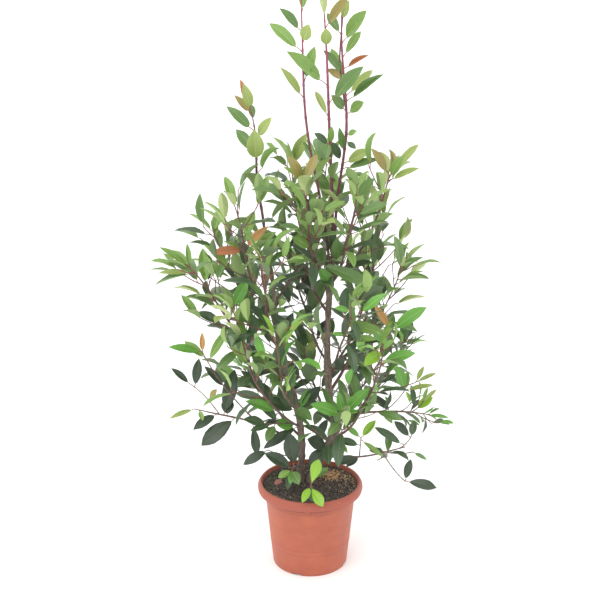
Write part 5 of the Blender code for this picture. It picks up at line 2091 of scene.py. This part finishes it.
def blades(leaves: Sequence[Leaf]) -> Surface:
    """The leaf blades, each a closed thin shell with a rib.

    At a share u of the blade its half width is W/2 sin(pi u^p)^(0.62 + 0.34 u^2), with p such that the
    blade is widest where it should be. The rib's slope is bend (0.4 - u^1.5), added up along the
    blade. A point w of the way to the margin lies w cos(fold) out and w sin(fold) up, with the half
    arched by 1 - (2w - 1)^2 and the margin waved by a sine.

    Args:
        leaves: the leaves.

    Returns:
        All the blades as one surface: slot 0 above, 1 on the rib and 2 below.
    """
    along, normal = column(leaves, "along"), column(leaves, "normal")
    side = np.cross(along, normal)
    total, stalk = column(leaves, "length"), column(leaves, "stalk")
    length = (total * (1 - stalk))[:, None]
    base = column(leaves, "foot") + (total * stalk)[:, None] * along
    u = np.concatenate(([0.0], BLADE_STATIONS, [1.0]))
    bend = column(leaves, "bend")[:, None]
    slope = bend * (0.4 - u**1.5)
    middle = (slope[:, 1:] + slope[:, :-1]) / 2
    step = np.diff(u) * length
    ahead = np.concatenate((np.zeros((len(leaves), 1)), np.cumsum(step * np.cos(middle), axis=1)), axis=1)
    above = np.concatenate((np.zeros((len(leaves), 1)), np.cumsum(step * np.sin(middle), axis=1)), axis=1)
    rib = base[:, None] + ahead[..., None] * along[:, None] + above[..., None] * normal[:, None]
    lift = np.cos(slope)[..., None] * normal[:, None] - np.sin(slope)[..., None] * along[:, None]
    twist = column(leaves, "twist")[:, None] * u
    cosine, sine = np.cos(twist)[..., None], np.sin(twist)[..., None]
    out = cosine * side[:, None] + sine * lift
    lift = cosine * lift - sine * side[:, None]

    inner = slice(1, -1)
    power = math.log(0.5) / np.log(column(leaves, "widest"))[:, None]
    share = np.sin(np.pi * u[inner] ** power) ** (0.62 + 0.34 * u[inner] ** 2)
    half = 0.5 * column(leaves, "width")[:, None] * length * share
    ribbed = np.minimum(RIB_HALF * (1 - 0.7 * u[inner]) / half, 0.3)[..., None]
    w = BLADE_COLUMNS + ribbed * np.array((0, 0, -1, 1, 0, 0))
    fold = column(leaves, "fold")[:, None, None]
    phase = WAVE_TURN * u[inner, None] + math.tau * column(leaves, "wave")[:, None, None]
    wave = WAVE_HEIGHT * np.sin(phase + WAVE_LAG * np.sign(w))
    level = half[..., None] * w * np.cos(fold)
    arch = ARCH * (1 - (2 * np.abs(w) - 1) ** 2)
    high = half[..., None] * (np.abs(w) * np.sin(fold) + arch + wave * w**2)
    sideways, upwards = level[..., None] * out[:, inner, None], high[..., None] * lift[:, inner, None]
    grid = rib[:, inner, None] + sideways + upwards
    keel = rib[:, inner] - BLADE_THICKNESS * (1.2 - u[inner, None]) * lift[:, inner]
    rows = np.concatenate((grid, keel[:, :, None]), axis=2).reshape(len(leaves), -1, 3)
    points = np.concatenate((rows, rib[:, :1], rib[:, -1:]), axis=1)
    flat = np.zeros((len(u) - 2, len(BLADE_COLUMNS) + 1, 3))
    flat[..., :-1, 0] = BLADE_COLUMNS
    flat[..., 1] = u[inner, None]
    flat = np.concatenate((flat.reshape(-1, 3), ((0, 0, 0), (0, 1, 0))))

    quads, quad_slots, tris, tri_slots = blade_faces(len(BLADE_STATIONS))
    starts = points.shape[1] * np.arange(len(leaves))[:, None, None]
    return Surface(
        points.reshape(-1, 3),
        (quads + starts).reshape(-1, 4),
        (tris + starts).reshape(-1, 3),
        np.tile(quad_slots, len(leaves)),
        np.tile(tri_slots, len(leaves)),
        np.tile(flat, (len(leaves), 1)),
    )


def blade_faces(stations: int) -> tuple[Array, Array, Array, Array]:
    """The faces of one blade, whose stations have six points above, one below, and a point at each end.

    Args:
        stations: rows of points between the two ends.

    Returns:
        The four-cornered faces and their slots, then the three-cornered ones and theirs.
    """
    row = len(BLADE_COLUMNS) + 1
    below, edge = row - 1, row - 2
    k = row * np.arange(stations - 1)[:, None]
    c = np.arange(edge)
    upper = np.stack((k + c, k + c + 1, k + c + row + 1, k + c + row), axis=-1).reshape(-1, 4)
    left = np.stack((k, k + row, k + row + below, k + below), axis=-1).reshape(-1, 4)
    right = np.stack((k + below, k + row + below, k + row + edge, k + edge), axis=-1).reshape(-1, 4)
    last, base, tip = row * (stations - 1), row * stations, row * stations + 1
    upper_base = np.stack((np.full(edge, base), c + 1, c), axis=1)
    upper_tip = np.stack((np.full(edge, tip), last + c, last + c + 1), axis=1)
    under_base = ((base, 0, below), (base, below, edge))
    under = np.array(under_base + ((tip, last + below, last), (tip, last + edge, last + below)))
    columns = np.array((0, 0, 1, 0, 0))
    quad_slots = np.concatenate((np.tile(columns, stations - 1), np.full(len(left) + len(right), 2)))
    tri_slots = np.concatenate((columns, columns, np.full(4, 2)))
    quads = np.concatenate((upper, left, right))
    return quads, quad_slots, np.concatenate((upper_base, upper_tip, under)), tri_slots


@dataclass
class Studio:
    """A white studio: the camera, soft lights, and a pale floor that meets a white world."""

    eye: tuple[float, float, float] = (-0.027, -2.5, 1.443)
    pitch: float = 16.0
    lens: float = 61.92
    sensor: float = 36.0
    picture: int = 600  # pixels to a side
    most_lean: float = 28.0  # degrees of a set leaf or twig out of the picture's plane
    floor_radius: float = 30.0
    world_strength: float = 1.45  # of the wall's side
    world_dim: float = 0.92  # of the room behind the camera
    world_lift: float = 0.8  # how far up counts like the wall's side
    world_blend: Pair = (-0.6, 0.5)  # from the room's side to the wall's
    floor_grays: Pair = (0.98, 0.99)
    sight_end: float = 200
    key_place: tuple[float, float, float] = (-1.3, -2.2, 3.2)
    key_aim: tuple[float, float, float] = (0.0, 0.0, 0.8)
    key_power: float = 45.0
    key_size: float = 3.0

    def axes(self) -> Array:
        """The unit vectors to the camera's right, up and ahead."""
        pitch = math.radians(self.pitch)
        sine, cosine = math.sin(pitch), math.cos(pitch)
        return np.array(((1.0, 0.0, 0.0), (0.0, sine, cosine), (0.0, cosine, -sine)))

    def seen(self, points: Array) -> Array:
        """Where the picture shows some points.

        Args:
            points: the points.

        Returns:
            Pixels from its top left corner.
        """
        right, up, ahead = self.axes() @ (points - np.array(self.eye)).T
        focal = self.lens / self.sensor * self.picture
        return self.picture / 2 + focal * np.stack((right / ahead, -up / ahead), axis=-1)

    def depth(self, points: Array) -> Array:
        """How far ahead of the eye each point is."""
        return (points - np.array(self.eye)) @ self.axes()[2]

    def aim(self, start: Array, pixel: Pair, length: float, near: bool) -> Array:
        """The way from a start to the place that a pixel shows, a length off.

        With f the start as seen from the eye and s the unit vector along the pixel's sight line, the line
        comes nearest at (f.s) s. The place lies sqrt(length^2 - d^2) from there, nearer the eye or
        further, with d the least distance, but by no more than the lean allows, and then it is closer.

        Args:
            start: where from.
            pixel: which pixel.
            length: how far off the place is.
            near: whether the nearer of the two places is meant.

        Returns:
            The vector from the start to the place.
        """
        focal = self.lens / self.sensor * self.picture
        x, y = ((value - self.picture / 2) / focal for value in pixel)
        sight = unit(np.array((x, -y, 1.0)) @ self.axes())
        from_eye = start - np.array(self.eye)
        across_way = float(from_eye @ sight) * sight - from_eye
        least = float(np.linalg.norm(across_way))
        past = math.sqrt(max(length**2 - least**2, 0.0))
        depth = min(past, least * math.tan(math.radians(self.most_lean)))
        return across_way + (-depth if near else depth) * sight

    def camera(self) -> None:
        """A level camera that looks along +Y and down."""
        data = bpy.data.cameras.new("camera")
        data.lens = self.lens
        data.sensor_width = self.sensor
        data.clip_end = self.sight_end
        camera = bpy.data.objects.new("camera", data)
        camera.location = self.eye
        camera.rotation_euler = (math.radians(90 - self.pitch), 0, 0)
        bpy.context.scene.collection.objects.link(camera)
        bpy.context.scene.camera = camera

    def lights(self) -> None:
        """A white world and one large soft lamp, high at the front left."""
        world = bpy.data.worlds.new("studio")
        world.use_nodes = True
        nodes = Nodes(world.node_tree)
        background = world.node_tree.nodes["Background"]
        background.inputs["Color"].default_value = (1, 1, 1, 1)
        way = nodes.add("SeparateXYZ", Vector=nodes.add("TexCoord").outputs["Generated"]).outputs
        toward_wall = nodes.math("ADD", way["Y"], nodes.math("MULTIPLY", way["Z"], self.world_lift))
        strength = nodes.ramp(toward_wall, *self.world_blend, self.world_dim, self.world_strength)
        nodes.fill(background.inputs["Strength"], strength)
        bpy.context.scene.world = world
        data = bpy.data.lights.new("key", "AREA")
        data.shape = "DISK"
        data.size = self.key_size
        data.energy = self.key_power
        key = bpy.data.objects.new("key", data)
        key.location = self.key_place
        aim = np.array(self.key_aim) - np.array(key.location)
        level = math.hypot(aim[0], aim[1])
        key.rotation_euler = (math.atan2(level, -aim[2]), 0, math.atan2(aim[1], aim[0]) - math.pi / 2)
        bpy.context.scene.collection.objects.link(key)

    def floor(self) -> None:
        """A wide pale disc on the ground."""
        angles = math.tau * np.arange(64) / 64
        rim = np.stack((np.cos(angles), np.sin(angles), np.zeros(64)), axis=1) * self.floor_radius
        mesh = bpy.data.meshes.new("floor")
        mesh.from_pydata(rim.tolist(), [], [list(range(64))])
        made, nodes, shader = new_material("studio_floor")
        low, high = ((gray - 0.01, gray, gray, 1) for gray in self.floor_grays)
        cloud = nodes.noise(nodes.place(), 2.0, 2.0)
        nodes.fill(shader.inputs["Base Color"], nodes.mix(cloud, low, high))
        shader.inputs["Roughness"].default_value = 0.9
        mesh.materials.append(made)
        ground = bpy.data.objects.new("floor", mesh)
        bpy.context.scene.collection.objects.link(ground)
        ground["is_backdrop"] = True

    def build(self) -> None:
        """Sets the whole stage."""
        self.camera()
        self.lights()
        self.floor()
        bpy.context.scene.view_settings.view_transform = "Standard"


def plain_box(box: tuple) -> list[list[float]]:
    """A box's two corners as plain lists of numbers."""
    return [[float(value) for value in corner] for corner in box]


def main() -> None:
    """Builds the stage and the shrub's parts in order."""
    logging.basicConfig(level=logging.INFO, format="%(message)s")
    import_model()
    solid_box = plain_box(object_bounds())
    studio = Studio()
    studio.build()
    Pot().build()
    Soil().build()
    frame = Frame()
    frame.build()
    Crown(frame, studio, np.array(solid_box)).build()


if __name__ == "__main__":
    main()
